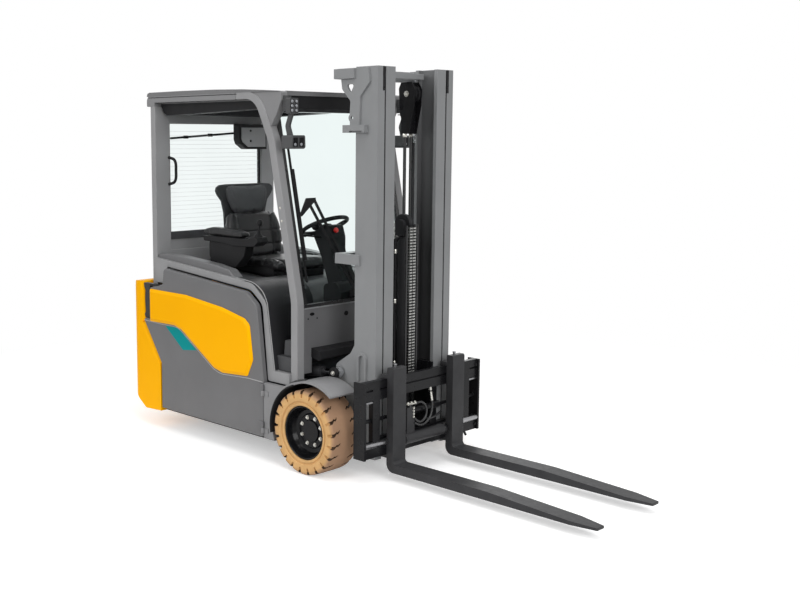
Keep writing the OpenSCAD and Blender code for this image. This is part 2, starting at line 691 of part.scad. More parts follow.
module inner_rails() color("#8d8f92") both_sides() {
  translate([-inner_x, rail_y0, rail_bottom + 10]) linear_extrude(mast_height - rail_bottom - 10) {
    square([inner_w, flange_t]);
    translate([inner_x - inner_web1, 0]) square([inner_web1 - inner_web0, rail_depth]);
    translate([0, rail_depth - flange_t]) square([inner_w, flange_t]);
  }
  // roller in the outer rail
  bar_x(20, -lip_x, -inner_web1 + 4, rail_mid, 190);
  bar_x(roller_r, -rail_x + web_t + 4, -lip_x + 1, rail_mid, 190);
}

module inner_crossbars() color("#8d8f92") {
  box([-inner_lip, inner_lip], [rail_y1 - 60, rail_y1 - 10], [mast_height - 52, mast_height - 22]);
  box([-inner_lip, inner_lip], [rail_y1 - 30, rail_y1], [100, 180]);
  box([-48, 48], [barrel_y - 44, rail_y1 - 20], [100, 126]);
  both_sides() box([-inner_x, -inner_x + 60], [rail_y1, lift_y + 24], [lift_head_z, mast_height - 5]);
}

module lift_rods() color("#d8dadc") both_sides() bar_z(lift_rod_r, -lift_x, lift_y, 132, lift_head_z);

module free_lift_barrel() color("#2b2c2e") difference() {
  union() {
    bar_z(barrel_r, 0, barrel_y, 126, 1255);
    box([-20, 20], [barrel_y, chain_back_y + chain_t], [985, 1005]);
  }
  bar_z(free_rod_r + run, 0, barrel_y, 140, 1256);
}

module free_lift_rod() color("#b9bcc0") {
  bar_z(free_rod_r, 0, barrel_y, 142, 1290);
  difference() {
    across(-36, 36) polygon(rounded([[barrel_y - 30, 1262, 0], [barrel_y + 30, 1262, 0],
      [barrel_y + 30, sheave_z + 22, 22],
      [barrel_y - 30, sheave_z + 22, 22]]));
    box([-chain_w / 2 - 2, chain_w / 2 + 2], [barrel_y - 60, barrel_y + 60], [1274, sheave_z + 60]);
  }
  bar_x(sheave_r, -chain_w / 2, chain_w / 2, barrel_y, sheave_z);
  bar_x(10, -36, 36, barrel_y, sheave_z);
}

// Leaf chain: wide and narrow rows of plates by turns
module chain(y, z0, z1) {
  n = 2 * floor((z1 - z0) / chain_pitch / 2) + 1;
  step = (z1 - z0) / n;
  edge = [for (i = [0 : n - 1], end = [0, 1]) [i % 2 == 0 ? chain_w / 2 : chain_waist / 2,
    z0 + step * (i + end)]];
  back = [for (i = [2 * n - 1 : -1 : 0]) [-edge[i][0], edge[i][1]]];
  along(y - chain_t / 2, y + chain_t / 2) polygon(concat(edge, back));
}

module lift_chain() color("#6a6a66") chain(chain_front_y, 500, sheave_z);

module chain_back() color("#6a6a66") chain(chain_back_y, 1005, sheave_z);

module mast_hoses() color("#151515") {
  bar_x(55, 82, 128, rail_y1 - 18, mast_height - 128);
  box([78, 132], [rail_y1 - 30, rail_y1 + 18], [mast_height - 345, mast_height - 190]);
  box([90, 120], [rail_y1 - 34, rail_y1 - 14], [mast_height - 200, mast_height - 52]);
  for (x = [90, 118]) bar_z(9, x, rail_y1 + 2, 200, mast_height - 300);
  box([80, 128], [rail_y1 - 12, rail_y1 + 14], [180, 210]);
}

// Carriage and forks

module carriage() color("#232426") {
  both_sides() {
    box([-155, -138], [carriage_y0 + carriage_t, rail_y1 - 46], [150, 560]);
    for (z = [206, 504]) {
      bar_x(18, -inner_lip - 2, -150, rail_mid, z);
      bar_x(roller_r, -inner_web0 + 3, -inner_lip - gap, rail_mid, z);
    }
  }
  box([-330, 330], [carriage_y0, carriage_y0 + carriage_t], [150, 225]);
  box([-330, 330], [carriage_y0, carriage_y0 + carriage_t], [440, 510]);
  box([-155, -100], [carriage_y0, carriage_y0 + carriage_t], [225, 440]);
  box([100, 155], [carriage_y0, carriage_y0 + carriage_t], [225, 440]);
  box([-20, 20], [carriage_y0 + carriage_t - 1, chain_front_y + 10], [470, 500]);
  difference() {
    union() {
      bar_x(shift_barrel_r, -155, 155, shift_rod_y, shift_rod_z);
      box([-150, -105], [shift_rod_y, carriage_y0 + 1], [shift_rod_z - 16, shift_rod_z + 16]);
      box([105, 150], [shift_rod_y, carriage_y0 + 1], [shift_rod_z - 16, shift_rod_z + 16]);
    }
    bar_x(shift_rod_r + run, -160, 160, shift_rod_y, shift_rod_z);
  }
}

module fork_carrier() color("#232426") {
  difference() {
    box([-carrier_x, carrier_x], [carrier_y0, carrier_y1], [carrier_z1 - 102, carrier_z1]);
    box([-carrier_x, carrier_x], [carrier_y0 - 1, carrier_y0 + 10], [carrier_z1 - 52, carrier_z1 - 42]);
  }
  box([-carrier_x, carrier_x], [carrier_y0, carrier_y1], [carrier_z0, carrier_z0 + bar_h]);
  both_sides() {
    box([-carrier_x, -carrier_x + 14], [carrier_y0 - 14, carrier_y1 + 34], [carrier_z0, carrier_z1]);
    box([-400, -345], [carrier_y0, carrier_y1], [carrier_z0 + 10, carrier_z1 - 10]);
  }
  bar_x(shift_rod_r, -carrier_x + 4, carrier_x - 4, shift_rod_y, shift_rod_z);
  for (z = [138, 512]) box([-95, 95], [carrier_y1 - 1, carriage_y0 + carriage_t - gap], [z, z + 10]);
}

// Fork with its two hooks; the blade thins toward the tip
module fork() {
  intersection() {
    across(-fork_width / 2, fork_width / 2) {
      polygon(rounded([[fork_y1, fork_z0, 44], [fork_y1, fork_top, 8], [fork_y0, fork_top, 12],
        [fork_y0, fork_z0 + fork_t, 20],
        [fork_y0 - 0.5 * fork_length, fork_z0 + fork_t, 0], [fork_tip_y, fork_z0 + 12, 4],
          [fork_tip_y, fork_z0, 0]]));
      translate([fork_y1 - 1, carrier_z1 + 0.5]) square([carrier_t + 16, 18]);
      translate([carrier_y1 + 1, carrier_z1 - 16]) square([13, 20]);
      translate([fork_y1 - 1, carrier_z0 - 18.5]) square([carrier_t + 16, 18]);
      translate([carrier_y1 + 1, carrier_z0 - 4]) square([13, 10]);
    }
    // the blade narrows at its tip
    linear_extrude(1000) polygon([[-fork_width / 2, 0], [fork_width / 2, 0],
      [fork_width / 2, fork_tip_y + 130],
      [fork_width / 2 - 22, fork_tip_y], [-fork_width / 2 + 22, fork_tip_y],
        [-fork_width / 2, fork_tip_y + 130]]);
  }
}

module fork_right() color("#1b1b1d") translate([-fork_x, 0, 0]) fork();
module fork_left() color("#1b1b1d") translate([fork_x, 0, 0]) fork();

// Tilt cylinders

module on_tilt_line() translate([0, tilt_rear_y, tilt_rear_z]) rotate([tilt_turn, 0, 0]) children();

module tilt_barrels() color("#2b2c2e") both_sides() on_tilt_line() difference() {
  union() {
    bar_x(30, -tilt_x - 18, -tilt_x + 18, 0, 0);
    translate([-tilt_x, 0, 0]) rotate([-90, 0, 0]) cylinder(r = 30, h = 215);
  }
  bar_x(tilt_pin_r + pin_run, -tilt_x - 40, -tilt_x + 40, 0, 0);
  translate([-tilt_x, 70, 0]) rotate([-90, 0, 0]) cylinder(r = 16 + run, h = 200);
}

module tilt_rods() color("#d8dadc") both_sides() on_tilt_line() difference() {
  union() {
    translate([-tilt_x, 112, 0]) rotate([-90, 0, 0]) cylinder(r = 16, h = tilt_len - 112);
    bar_x(32, -tilt_x - 18, -tilt_x + 18, tilt_len, 0);
  }
  bar_x(tilt_pin_r + 3, -tilt_x - 40, -tilt_x + 40, tilt_len, 0);
}

chassis_frame();
drive_axle();
counterweight();
battery();
seat_hood();
body_rims();
front_cowl();
floor_plate();
front_ledge();
mudguards();
wheel_liners();
front_pillars();
rear_pillars();
roof_frame();
roof_liner();
roof_panel();
windscreen();
rear_window();
seat_base();
seat_cushion();
seat_back();
armrest();
steering_column();
steering_wheel();
headlamps();
wipers();
door_right();
door_insert_right();
door_left();
door_insert_left();
rim_right();
tyre_right();
rim_left();
tyre_left();
steer_bracket();
rear_rims();
rear_tyres();
outer_rails();
outer_crossbars();
lift_barrels();
inner_rails();
inner_crossbars();
lift_rods();
mast_hoses();
free_lift_barrel();
free_lift_rod();
lift_chain();
chain_back();
carriage();
fork_carrier();
fork_right();
fork_left();
tilt_barrels();
tilt_rods();
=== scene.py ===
import json
import math

import bmesh
import bpy
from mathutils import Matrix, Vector


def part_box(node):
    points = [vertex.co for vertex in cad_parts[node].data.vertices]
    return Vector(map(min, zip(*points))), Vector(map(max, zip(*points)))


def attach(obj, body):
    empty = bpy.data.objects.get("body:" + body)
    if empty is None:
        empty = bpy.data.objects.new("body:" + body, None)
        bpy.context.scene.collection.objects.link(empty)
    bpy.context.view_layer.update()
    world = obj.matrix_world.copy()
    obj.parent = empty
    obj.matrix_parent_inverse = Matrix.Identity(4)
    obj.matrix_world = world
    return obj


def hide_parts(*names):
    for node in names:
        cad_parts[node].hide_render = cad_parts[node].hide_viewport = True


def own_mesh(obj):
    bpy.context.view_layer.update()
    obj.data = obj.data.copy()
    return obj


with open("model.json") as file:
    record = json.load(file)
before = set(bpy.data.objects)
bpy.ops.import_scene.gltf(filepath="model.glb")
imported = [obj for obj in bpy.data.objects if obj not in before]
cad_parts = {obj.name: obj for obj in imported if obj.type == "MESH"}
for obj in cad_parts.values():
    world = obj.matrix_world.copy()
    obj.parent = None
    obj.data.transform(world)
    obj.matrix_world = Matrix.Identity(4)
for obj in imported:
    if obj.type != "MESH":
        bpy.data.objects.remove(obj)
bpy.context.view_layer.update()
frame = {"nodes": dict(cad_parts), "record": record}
nodes = frame["nodes"]
MM = 0.001

# The truck faces -Y, so its right side lies toward -X and its left side toward +X
SIDE_NAMES = {-1: "right", 1: "left"}
SIDES = tuple(SIDE_NAMES)


def box_mm(node):
    """A CAD node's box in millimetres: low and high corner."""
    low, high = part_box(node)
    return Vector(low) / MM, Vector(high) / MM


def span(side, near, far):
    """Range along X on one side of the truck."""
    return sorted((side * near, side * far))


def add_object(name, data):
    """A new object in the scene."""
    obj = bpy.data.objects.new(name, data)
    bpy.context.scene.collection.objects.link(obj)
    return obj


# The camera that fits the photograph, in metres, degrees and pixels of an 800 x 600 frame

IMAGE_W = 800
IMAGE_H = 600
FOCAL_PX = 1097.7
CENTRE_PX = (299.75, 280.1)
CAMERA_AT = Vector((-4.4806, -4.1128, 1.7813))
CAMERA_YAW = math.radians(43.49)
CAMERA_PITCH = math.radians(7.338)
SENSOR_MM = 36.0


def place_camera():
    data = bpy.data.cameras.new("camera")
    data.sensor_width = SENSOR_MM
    data.lens = FOCAL_PX * SENSOR_MM / IMAGE_W
    data.shift_x = (IMAGE_W / 2 - CENTRE_PX[0]) / IMAGE_W
    data.shift_y = (CENTRE_PX[1] - IMAGE_H / 2) / IMAGE_W
    camera = add_object("camera", data)
    flat = math.cos(CAMERA_PITCH)
    ahead = Vector((math.sin(CAMERA_YAW) * flat, math.cos(CAMERA_YAW) * flat, -math.sin(CAMERA_PITCH)))
    camera.location = CAMERA_AT
    camera.rotation_euler = ahead.to_track_quat("-Z", "Y").to_euler()
    bpy.context.scene.camera = camera


# Light and floor

AMBIENT = 0.54
FLOOR_REACH = 40.0
FLOOR_TONE = 0.8
# The floor's own light near the truck and far from it, and the distances between which it changes
GLOW_NEAR = 0.4
GLOW_FAR = 1.0
FADE_START = 1.8
FADE_END = 4.2
# Name, place, aim, diameter in metres and power in watts of each lamp
LAMPS = (
    ("key", (-0.6, -0.8, 7.0), (0, 0, 0.8), 5.0, 180),
    ("side", (-6.0, 1.0, 3.6), (0, 0.6, 1.0), 3.5, 140),
    ("front", (-2.6, -6.2, 3.4), (0, 0, 1.1), 3.5, 175),
    ("fill", (5.5, 4.5, 4.0), (0, 0.5, 1.0), 4.0, 60),
)


def math_node(tree, operation, first, second):
    node = tree.nodes.new("ShaderNodeMath")
    node.operation = operation
    for socket, value in zip(node.inputs, (first, second)):
        if isinstance(value, (int, float)):
            socket.default_value = value
        else:
            tree.links.new(value, socket)
    return node.outputs[0]


def set_inputs(node, values):
    for name, value in values.items():
        node.inputs[name].default_value = value


def ramp(tree, value, start, end, low, high):
    node = tree.nodes.new("ShaderNodeMapRange")
    set_inputs(node, {"From Min": start, "From Max": end, "To Min": low, "To Max": high})
    tree.links.new(value, node.inputs["Value"])
    return node.outputs["Result"]


def two_colors(tree, share, low, high):
    mix = tree.nodes.new("ShaderNodeMix")
    mix.data_type = "RGBA"
    for name, value in (("A", low), ("B", high)):
        if isinstance(value, tuple):
            mix.inputs[name].default_value = value
        else:
            tree.links.new(value, mix.inputs[name])
    tree.links.new(share, mix.inputs["Factor"])
    return mix.outputs["Result"]


def length_of(tree, vector):
    node = tree.nodes.new("ShaderNodeVectorMath")
    node.operation = "LENGTH"
    tree.links.new(vector, node.inputs[0])
    return node.outputs["Value"]


def opened(material):
    """Node tree, shader and object coordinates of a material."""
    material.use_nodes = True
    tree = material.node_tree
    coords = tree.nodes.new("ShaderNodeTexCoord").outputs["Object"]
    return tree, tree.nodes["Principled BSDF"], coords


def seen_directly(tree):
    """1 for rays that look at the background, straight or by way of metal or glass."""
    path = tree.nodes.new("ShaderNodeLightPath")
    total = path.outputs["Is Camera Ray"]
    for name in ("Is Glossy Ray", "Is Transmission Ray"):
        total = math_node(tree, "MAXIMUM", total, path.outputs[name])
    return total


def light_world():
    world = bpy.data.worlds.new("studio")
    world.use_nodes = True
    tree = world.node_tree
    back = tree.nodes["Background"]
    back.inputs["Color"].default_value = (1, 1, 1, 1)
    strength = ramp(tree, seen_directly(tree), 0, 1, AMBIENT, 1.0)
    tree.links.new(strength, back.inputs["Strength"])
    bpy.context.scene.world = world


def area_light(name, at, towards, size, power):
    data = bpy.data.lights.new(name, "AREA")
    data.shape = "DISK"
    data.size = size
    data.energy = power
    lamp = add_object(name, data)
    lamp.location = at
    lamp.rotation_euler = (Vector(towards) - Vector(at)).to_track_quat("-Z", "Y").to_euler()


def make_floor():
    """Pale floor that gives off a little light, more with distance, so that it runs out to white."""
    mesh = bpy.data.meshes.new("floor")
    corners = [(x * FLOOR_REACH, y * FLOOR_REACH, 0) for x, y in ((-1, -1), (1, -1), (1, 1), (-1, 1))]
    mesh.from_pydata(corners, [], [(0, 1, 2, 3)])
    floor = add_object("floor", mesh)
    material = bpy.data.materials.new("floor")
    tree, shader, coords = opened(material)
    set_inputs(shader, {"Roughness": 0.9, "Specular IOR Level": 0.0, "Emission Color": (1, 1, 1, 1)})
    distance = length_of(tree, coords)
    glow = ramp(tree, distance, FADE_START, FADE_END, GLOW_NEAR, GLOW_FAR)
    fade = ramp(tree, distance, FADE_START, FADE_END, 0.0, 1.0)
    tone = two_colors(tree, fade, (FLOOR_TONE, FLOOR_TONE, FLOOR_TONE, 1), (0, 0, 0, 1))
    tree.links.new(tone, shader.inputs["Base Color"])
    shown = math_node(tree, "MULTIPLY", glow, seen_directly(tree))
    tree.links.new(shown, shader.inputs["Emission Strength"])
    mesh.materials.append(material)


place_camera()
bpy.context.scene.view_settings.view_transform = "Standard"
light_world()
for lamp in LAMPS:
    area_light(*lamp)
make_floor()


# Materials

BUMP_STRENGTH = 0.6
COAT_ROUGHNESS = 0.12
MOULD_GRAIN = 1500.0
# Finishes by name, which is that of the record's slot where it has one
finishes = {}

MAST_GREY = (0.24, 0.245, 0.25)
MAST_ROUGH = 0.42
# Painted shade on the inner rails: its tone, the web that it covers in metres, and its cover from low to
# high
CHANNEL_SHADE = (0.02, 0.02, 0.021)
WEB_X = 0.205
WEB_Y = (-0.264, -0.152)
SHADE_Z = (1.2, 2.15)
SHADE_COVER = (0.97, 0.4)

# Tyre wall tone, and the darker tread tone that is painted shade on the tread
TYRE_WALL = (0.6, 0.36, 0.15)
SHADED_TREAD = (0.36, 0.215, 0.13)
FRONT_RADIUS = box_mm("tyre_right")[1].z / 2
REAR_RADIUS = box_mm("rear_tyres")[1].z / 2
TREAD_INSET = 2.5


def shade(color, factor):
    return tuple(min(1.0, c * factor) for c in color) + (1.0,)


def noise(tree, coords, scale, detail=3.0, roughness=0.55):
    texture = tree.nodes.new("ShaderNodeTexNoise")
    set_inputs(texture, {"Scale": scale, "Detail": detail, "Roughness": roughness})
    tree.links.new(coords, texture.inputs["Vector"])
    return texture.outputs["Fac"]


def between(tree, value, low, high):
    """Spread the middle of a noise over low to high."""
    return ramp(tree, value, 0.3, 0.7, low, high)


def surface(name, color, rough, metal=0.0, vary=0.05, patch=4.0, grain=900.0, depth=0.00008,
            spread=0.06, coat=0.0, gloss=0.3):
    """Painted or moulded surface: soft patches of tone, uneven gloss and a fine grain."""
    material = bpy.data.materials.new(name)
    tree, shader, coords = opened(material)
    patches = between(tree, noise(tree, coords, patch), 0.0, 1.0)
    tone = two_colors(tree, patches, shade(color, 1 - vary), shade(color, 1 + vary))
    tree.links.new(tone, shader.inputs["Base Color"])
    smears = noise(tree, coords, patch * 5, 5.0)
    tree.links.new(between(tree, smears, rough - spread, rough + spread), shader.inputs["Roughness"])
    bump = tree.nodes.new("ShaderNodeBump")
    set_inputs(bump, {"Strength": BUMP_STRENGTH, "Distance": depth})
    tree.links.new(noise(tree, coords, grain, 2.0), bump.inputs["Height"])
    tree.links.new(bump.outputs["Normal"], shader.inputs["Normal"])
    set_inputs(shader, {"Metallic": metal, "Specular IOR Level": gloss, "Coat Weight": coat,
                        "Coat Roughness": COAT_ROUGHNESS})
    finishes[name] = material
    return material


def overpaint(tree, shader, share, color):
    """Lay a colour over the shader's own tone, by the share given."""
    below = shader.inputs["Base Color"].links[0].from_socket
    tree.links.new(two_colors(tree, share, below, shade(color, 1.0)), shader.inputs["Base Color"])


def moulded(name, color, rough, vary, gloss, depth=0.00015):
    """Plastic with the fine grain of its mould."""
    return surface(name, color, rough, vary=vary, grain=MOULD_GRAIN, depth=depth, gloss=gloss)


def rubber(name):
    """Tan rubber of the tyres' walls."""
    return surface(name, TYRE_WALL, 0.8, vary=0.1, patch=9.0, grain=420.0, depth=0.0005)


def tread_rubber(name, outer, band):
    """Tan rubber whose tone goes over to the tread's darker tone, which is painted shade, in a band of radii
    about its own axle.
    """
    material = rubber(name)
    tree, shader, coords = opened(material)
    flat = tree.nodes.new("ShaderNodeVectorMath")
    flat.operation = "MULTIPLY"
    flat.inputs[1].default_value = (0, 1, 1)
    tree.links.new(coords, flat.inputs[0])
    radius = length_of(tree, flat.outputs["Vector"])
    end = (outer - TREAD_INSET) * MM
    # Painted shade: the tread goes over to the darker tone
    tread_shade = ramp(tree, radius, end - band * MM, end, 0.0, 1.0)
    overpaint(tree, shader, tread_shade, SHADED_TREAD)
    return material


def shaded_rail(name):
    """Rail paint with painted shade on the web inside the channel, heavier toward the floor."""
    material = surface(name, MAST_GREY, MAST_ROUGH)
    tree, shader, coords = opened(material)
    split = tree.nodes.new("ShaderNodeSeparateXYZ")
    tree.links.new(coords, split.inputs[0])
    across = math_node(tree, "ABSOLUTE", split.outputs["X"], 0.0)
    on_web = math_node(tree, "LESS_THAN", across, WEB_X)
    for operation, limit in zip(("GREATER_THAN", "LESS_THAN"), WEB_Y):
        on_web = math_node(tree, "MULTIPLY", on_web, math_node(tree, operation, split.outputs["Y"], limit))
    # Painted shade: darker toward the floor
    shade_share = ramp(tree, split.outputs["Z"], *SHADE_Z, *SHADE_COVER)
    overpaint(tree, shader, math_node(tree, "MULTIPLY", on_web, shade_share), CHANNEL_SHADE)
    return material


def glass(name, tint):
    material = bpy.data.materials.new(name)
    tree, shader, coords = opened(material)
    clouds = between(tree, noise(tree, coords, 2.0), 0, 1)
    tone = two_colors(tree, clouds, shade(tint, 0.97), shade(tint, 1.0))
    tree.links.new(tone, shader.inputs["Base Color"])
    set_inputs(shader, {"Roughness": 0.0, "IOR": 1.01, "Transmission Weight": 1.0})
    return material


grey_paint = surface("grey_paint", (0.14, 0.14, 0.144), 0.4)
# Lighter copy of the body grey: painted light on the pillars, the rims, the rear frame and the plate under
# the roof
lit_body_grey = surface("lit_body_grey", (0.28, 0.28, 0.285), 0.4)
roof_paint = surface("roof_paint", (0.165, 0.165, 0.169), 0.4)
rail_grey = surface("rail_grey", (0.225, 0.225, 0.23), 0.4)
mast_paint = surface("mast_paint", MAST_GREY, MAST_ROUGH)
rail_paint = shaded_rail("rail_paint")
rim_black = surface("rim_black", (0.005, 0.005, 0.006), 0.2, vary=0.2, gloss=0.16)
fork_paint = surface("fork_paint", (0.04, 0.04, 0.042), 0.4, vary=0.15, patch=9.0, gloss=0.12)
cover_plastic = moulded("cover_plastic", (0.022, 0.022, 0.024), 0.45, vary=0.1, gloss=0.3)
step_plastic = moulded("step_plastic", (0.06, 0.061, 0.064), 0.5, vary=0.08, gloss=0.25)
hood_plastic = moulded("hood_plastic", (0.09, 0.09, 0.093), 0.5, vary=0.08, gloss=0.3)
lamp_grey = moulded("lamp_grey", (0.06, 0.061, 0.063), 0.45, vary=0.08, gloss=0.3, depth=0.0001)
heater_line = surface("heater_line", (0.82, 0.83, 0.83), 0.6)
black_paint = surface("black_paint", (0.008, 0.008, 0.009), 0.3, vary=0.2, gloss=0.16)
dark_steel = surface("dark_steel", (0.026, 0.026, 0.028), 0.45, vary=0.2, gloss=0.14)
dark_plastic = moulded("dark_plastic", (0.014, 0.014, 0.015), 0.5, vary=0.15, gloss=0.12)
grey_plastic = moulded("grey_plastic", (0.032, 0.033, 0.035), 0.55, vary=0.08, gloss=0.25)
seat_leather = surface("seat_leather", (0.012, 0.012, 0.013), 0.34, vary=0.2, grain=700.0, depth=0.00012)
seat_cloth = surface("seat_cloth", (0.055, 0.056, 0.059), 0.85, vary=0.2, grain=1100.0, depth=0.0003)
bolt_zinc = surface("bolt_zinc", (0.56, 0.55, 0.51), 0.28, metal=1.0, vary=0.1, patch=60.0)
chain_steel = surface("chain_steel", (0.5, 0.5, 0.48), 0.3, metal=1.0, vary=0.2, patch=40.0)
hose_rubber = surface("hose_rubber", (0.016, 0.016, 0.017), 0.3, vary=0.2, gloss=0.5)
lamp_lens = surface("lamp_lens", (0.3, 0.31, 0.33), 0.12, vary=0.04, coat=0.6)
worn_steel = surface("worn_steel", (0.3, 0.3, 0.31), 0.3, metal=1.0, vary=0.15, patch=20.0)
red_plastic = surface("red_plastic", (0.62, 0.02, 0.015), 0.3, coat=0.4)
teal_plate = surface("teal_plate", (0.0, 0.25, 0.255), 0.5, vary=0.06, gloss=0.1)
# Pale paint for painted highlights along edges
pale_paint = surface("pale_paint", (0.36, 0.36, 0.365), 0.4)
screen_glass = glass("screen_glass", (0.865, 0.94, 0.93))
front_rubber = tread_rubber("front_rubber", FRONT_RADIUS, 22)
rear_rubber = tread_rubber("rear_rubber", REAR_RADIUS, 21)
# Painted shade for the notch faces near the tread
groove_shade = surface("groove_shade", (0.075, 0.045, 0.027), 0.85, vary=0.2, patch=9.0)

# Finishes that only whole nodes have
surface("yellow_paint", (1.0, 0.46, 0.001), 0.4, vary=0.02, gloss=0.05)
surface("battery_case", (0.1, 0.11, 0.12), 0.5)
surface("rod_chrome", (0.75, 0.76, 0.78), 0.14, metal=1.0, vary=0.03)
rubber("tyre_tan")
finishes["glass_pane"] = glass("window_glass", (0.905, 0.955, 0.948))

# Nodes whose finish differs from that of the others in their slot
NODE_FINISHES = (
    # Pillars and rims in the lighter grey, painted light
    (lit_body_grey, ("front_pillars", "body_rims", "rear_pillars")),
    (rail_grey, ("roof_frame", "mudguards")),
    (screen_glass, ("windscreen",)),
    (hood_plastic, ("seat_hood",)),
    (rail_paint, ("inner_rails",)),
    (rim_black, ("rim_right", "rim_left")),
    (fork_paint, ("fork_right", "fork_left")),
    (lamp_grey, ("headlamps",)),
)

finish_of = {node: finish for finish, names in NODE_FINISHES for node in names}
slot_of = {p["node"]: p["material_slot"] for p in frame["record"]["subparts"]}

# Rounding of sharp edges, in metres
NODE_BEVEL = 0.003
WELD_GAP = 0.00002
SHARP_ANGLE = math.radians(35)


def round_edges(obj, width):
    edge = obj.modifiers.new("edge", "BEVEL")
    edge.width = width
    edge.segments = 2
    edge.limit_method = "ANGLE"
    edge.angle_limit = SHARP_ANGLE
    edge.harden_normals = True


def dress(node):
    """Paint a CAD piece and round its sharp edges a little."""
    piece = nodes[node]
    piece.data.materials.clear()
    piece.data.materials.append(finish_of.get(node, finishes[slot_of[node]]))
    weld = piece.modifiers.new("weld", "WELD")
    weld.merge_threshold = WELD_GAP
    round_edges(piece, NODE_BEVEL)


for node in nodes:
    dress(node)


# Building added pieces, in millimetres of the truck's own frame

MERGE_GAP = 0.001


def square_to(axis):
    """The axis at unit length, and two directions square to it."""
    axis = Vector(axis).normalized()
    side = axis.orthogonal().normalized()
    return axis, side, axis.cross(side)


def ring(middle, side, other, radius, count):
    """Points of a circle in the plane of two directions."""
    turns = [2 * math.pi * i / count for i in range(count)]
    return [middle + side * (radius * math.cos(t)) + other * (radius * math.sin(t)) for t in turns]


def circle(at, axis, radius, count):
    _, side, other = square_to(axis)
    return ring(Vector(at), side, other, radius, count)


def flowing(points, steps=6):
    """Smooth curve through the points."""
    points = [Vector(p) for p in points]
    padded = [points[0] * 2 - points[1]] + points + [points[-1] * 2 - points[-2]]
    curve = []
    for a, b, c, d in zip(padded, padded[1:], padded[2:], padded[3:]):
        for i in range(steps):
            t = i / steps
            p = b * 2 + (c - a) * t + (a * 2 - b * 5 + c * 4 - d) * t * t
            curve.append((p + (b * 3 - a - c * 3 + d) * t * t * t) * 0.5)
    return curve + [points[-1]]


class Piece:
    """One added piece: solids gathered into one mesh that rides on one body of the CAD."""

    def __init__(self, name, body, *materials):
        self.name = name
        self.body = body
        self.materials = materials
        self.mesh = bmesh.new()

    def skin(self, rings, material=0, caps=True):
        """Faces between rings of equally many points, and over the first and the last."""
        rows = [[self.mesh.verts.new(p) for p in points] for points in rings]
        count = len(rows[0])
        faces = []
        for low, high in zip(rows, rows[1:]):
            for i in range(count):
                j = (i + 1) % count
                faces.append(self.mesh.faces.new((low[i], low[j], high[j], high[i])))
        if caps:
            faces.append(self.mesh.faces.new(rows[0][::-1]))
            faces.append(self.mesh.faces.new(rows[-1]))
        for face in faces:
            face.material_index = material
        return faces

    def prism(self, axis, outline, low, high, material=0):
        """Outline in the plane across the axis, pushed along the axis from low to high."""
        at = "xyz".index(axis)
        ends = [[Vector((*p[:at], h, *p[at:])) for p in outline] for h in (low, high)]
        self.skin(ends, material)

    def box(self, x, y, z, material=0):
        self.prism("z", [(x[0], y[0]), (x[1], y[0]), (x[1], y[1]), (x[0], y[1])], z[0], z[1], material)

    def bar(self, start, end, radius, material=0, count=24):
        """Round bar from start to end."""
        axis = Vector(end) - Vector(start)
        self.skin([circle(start, axis, radius, count), circle(end, axis, radius, count)], material)

    def lathe(self, at, axis, profile, material=0, count=40):
        """Turned solid: profile is a list of (radius, height along the axis)."""
        axis = Vector(axis).normalized()
        self.skin([circle(Vector(at) + axis * h, axis, r, count) for r, h in profile], material)

    def tube(self, points, radius, material=0, count=12):
        """Round tube along the points, its section carried along without twist."""
        points = [Vector(p) for p in points]
        side = square_to(points[1] - points[0])[1]
        rings = []
        for i, p in enumerate(points):
            ahead = (points[min(i + 1, len(points) - 1)] - points[max(i - 1, 0)]).normalized()
            side = (side - ahead * side.dot(ahead)).normalized()
            rings.append(ring(p, side, ahead.cross(side), radius, count))
        self.skin(rings, material)

    def hoop(self, at, axis, ring_radius, tube_radius, around=48, count=14):
        """Closed ring of round section."""
        axis, side, other = square_to(axis)
        rings = []
        for i in range(around + 1):
            t = 2 * math.pi * i / around
            out = side * math.cos(t) + other * math.sin(t)
            rings.append(ring(Vector(at) + out * ring_radius, out, axis, tube_radius, count))
        self.skin(rings, caps=False)
        self.merge()

    def merge(self):
        """Join points that lie on each other."""
        bmesh.ops.remove_doubles(self.mesh, verts=self.mesh.verts, dist=MERGE_GAP)

    def bolt(self, at, axis, radius, material=0):
        """Washer with a hexagon head on it."""
        at = Vector(at)
        axis = Vector(axis).normalized()
        washer = ((1.35, 0), (1.3, 0.25))
        head = ((1, 0), (1, 0.8), (0.85, 0.95))
        for profile, count in ((washer, 20), (head, 6)):
            rings = [circle(at + axis * radius * h, axis, radius * r, count) for r, h in profile]
            self.skin(rings, material)

    def done(self, bevel=1.0, smooth=40, replaces=(), centre=(0, 0, 0)):
        """Finish the mesh, with its origin at centre, and hang it on its body."""
        bmesh.ops.recalc_face_normals(self.mesh, faces=self.mesh.faces)
        bmesh.ops.translate(self.mesh, vec=-Vector(centre), verts=self.mesh.verts)
        bmesh.ops.scale(self.mesh, vec=(MM, MM, MM), verts=self.mesh.verts)
        data = bpy.data.meshes.new(self.name)
        self.mesh.to_mesh(data)
        self.mesh.free()
        for material in self.materials:
            data.materials.append(material)
        data.polygons.foreach_set("use_smooth", [True] * len(data.polygons))
        data.set_sharp_from_angle(angle=math.radians(smooth))
        obj = add_object(self.name, data)
        obj.location = Vector(centre) * MM
        if bevel:
            round_edges(obj, bevel * MM)
        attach(obj, self.body)
        if replaces:
            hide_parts(*replaces)
        return obj


# Tyres with lugs cut in from both shoulders

FRONT_BORE = 146
FRONT_LUGS = 21
REAR_BORE = 118
REAR_LUGS = 18
REAR_W = 140
TYRE_SMOOTH = 32
# The far shoulder's notches, as shares of the lugs' pitch: where they stand and how they lean
FAR_PHASE = 0.5
FAR_SHIFT = 0.6
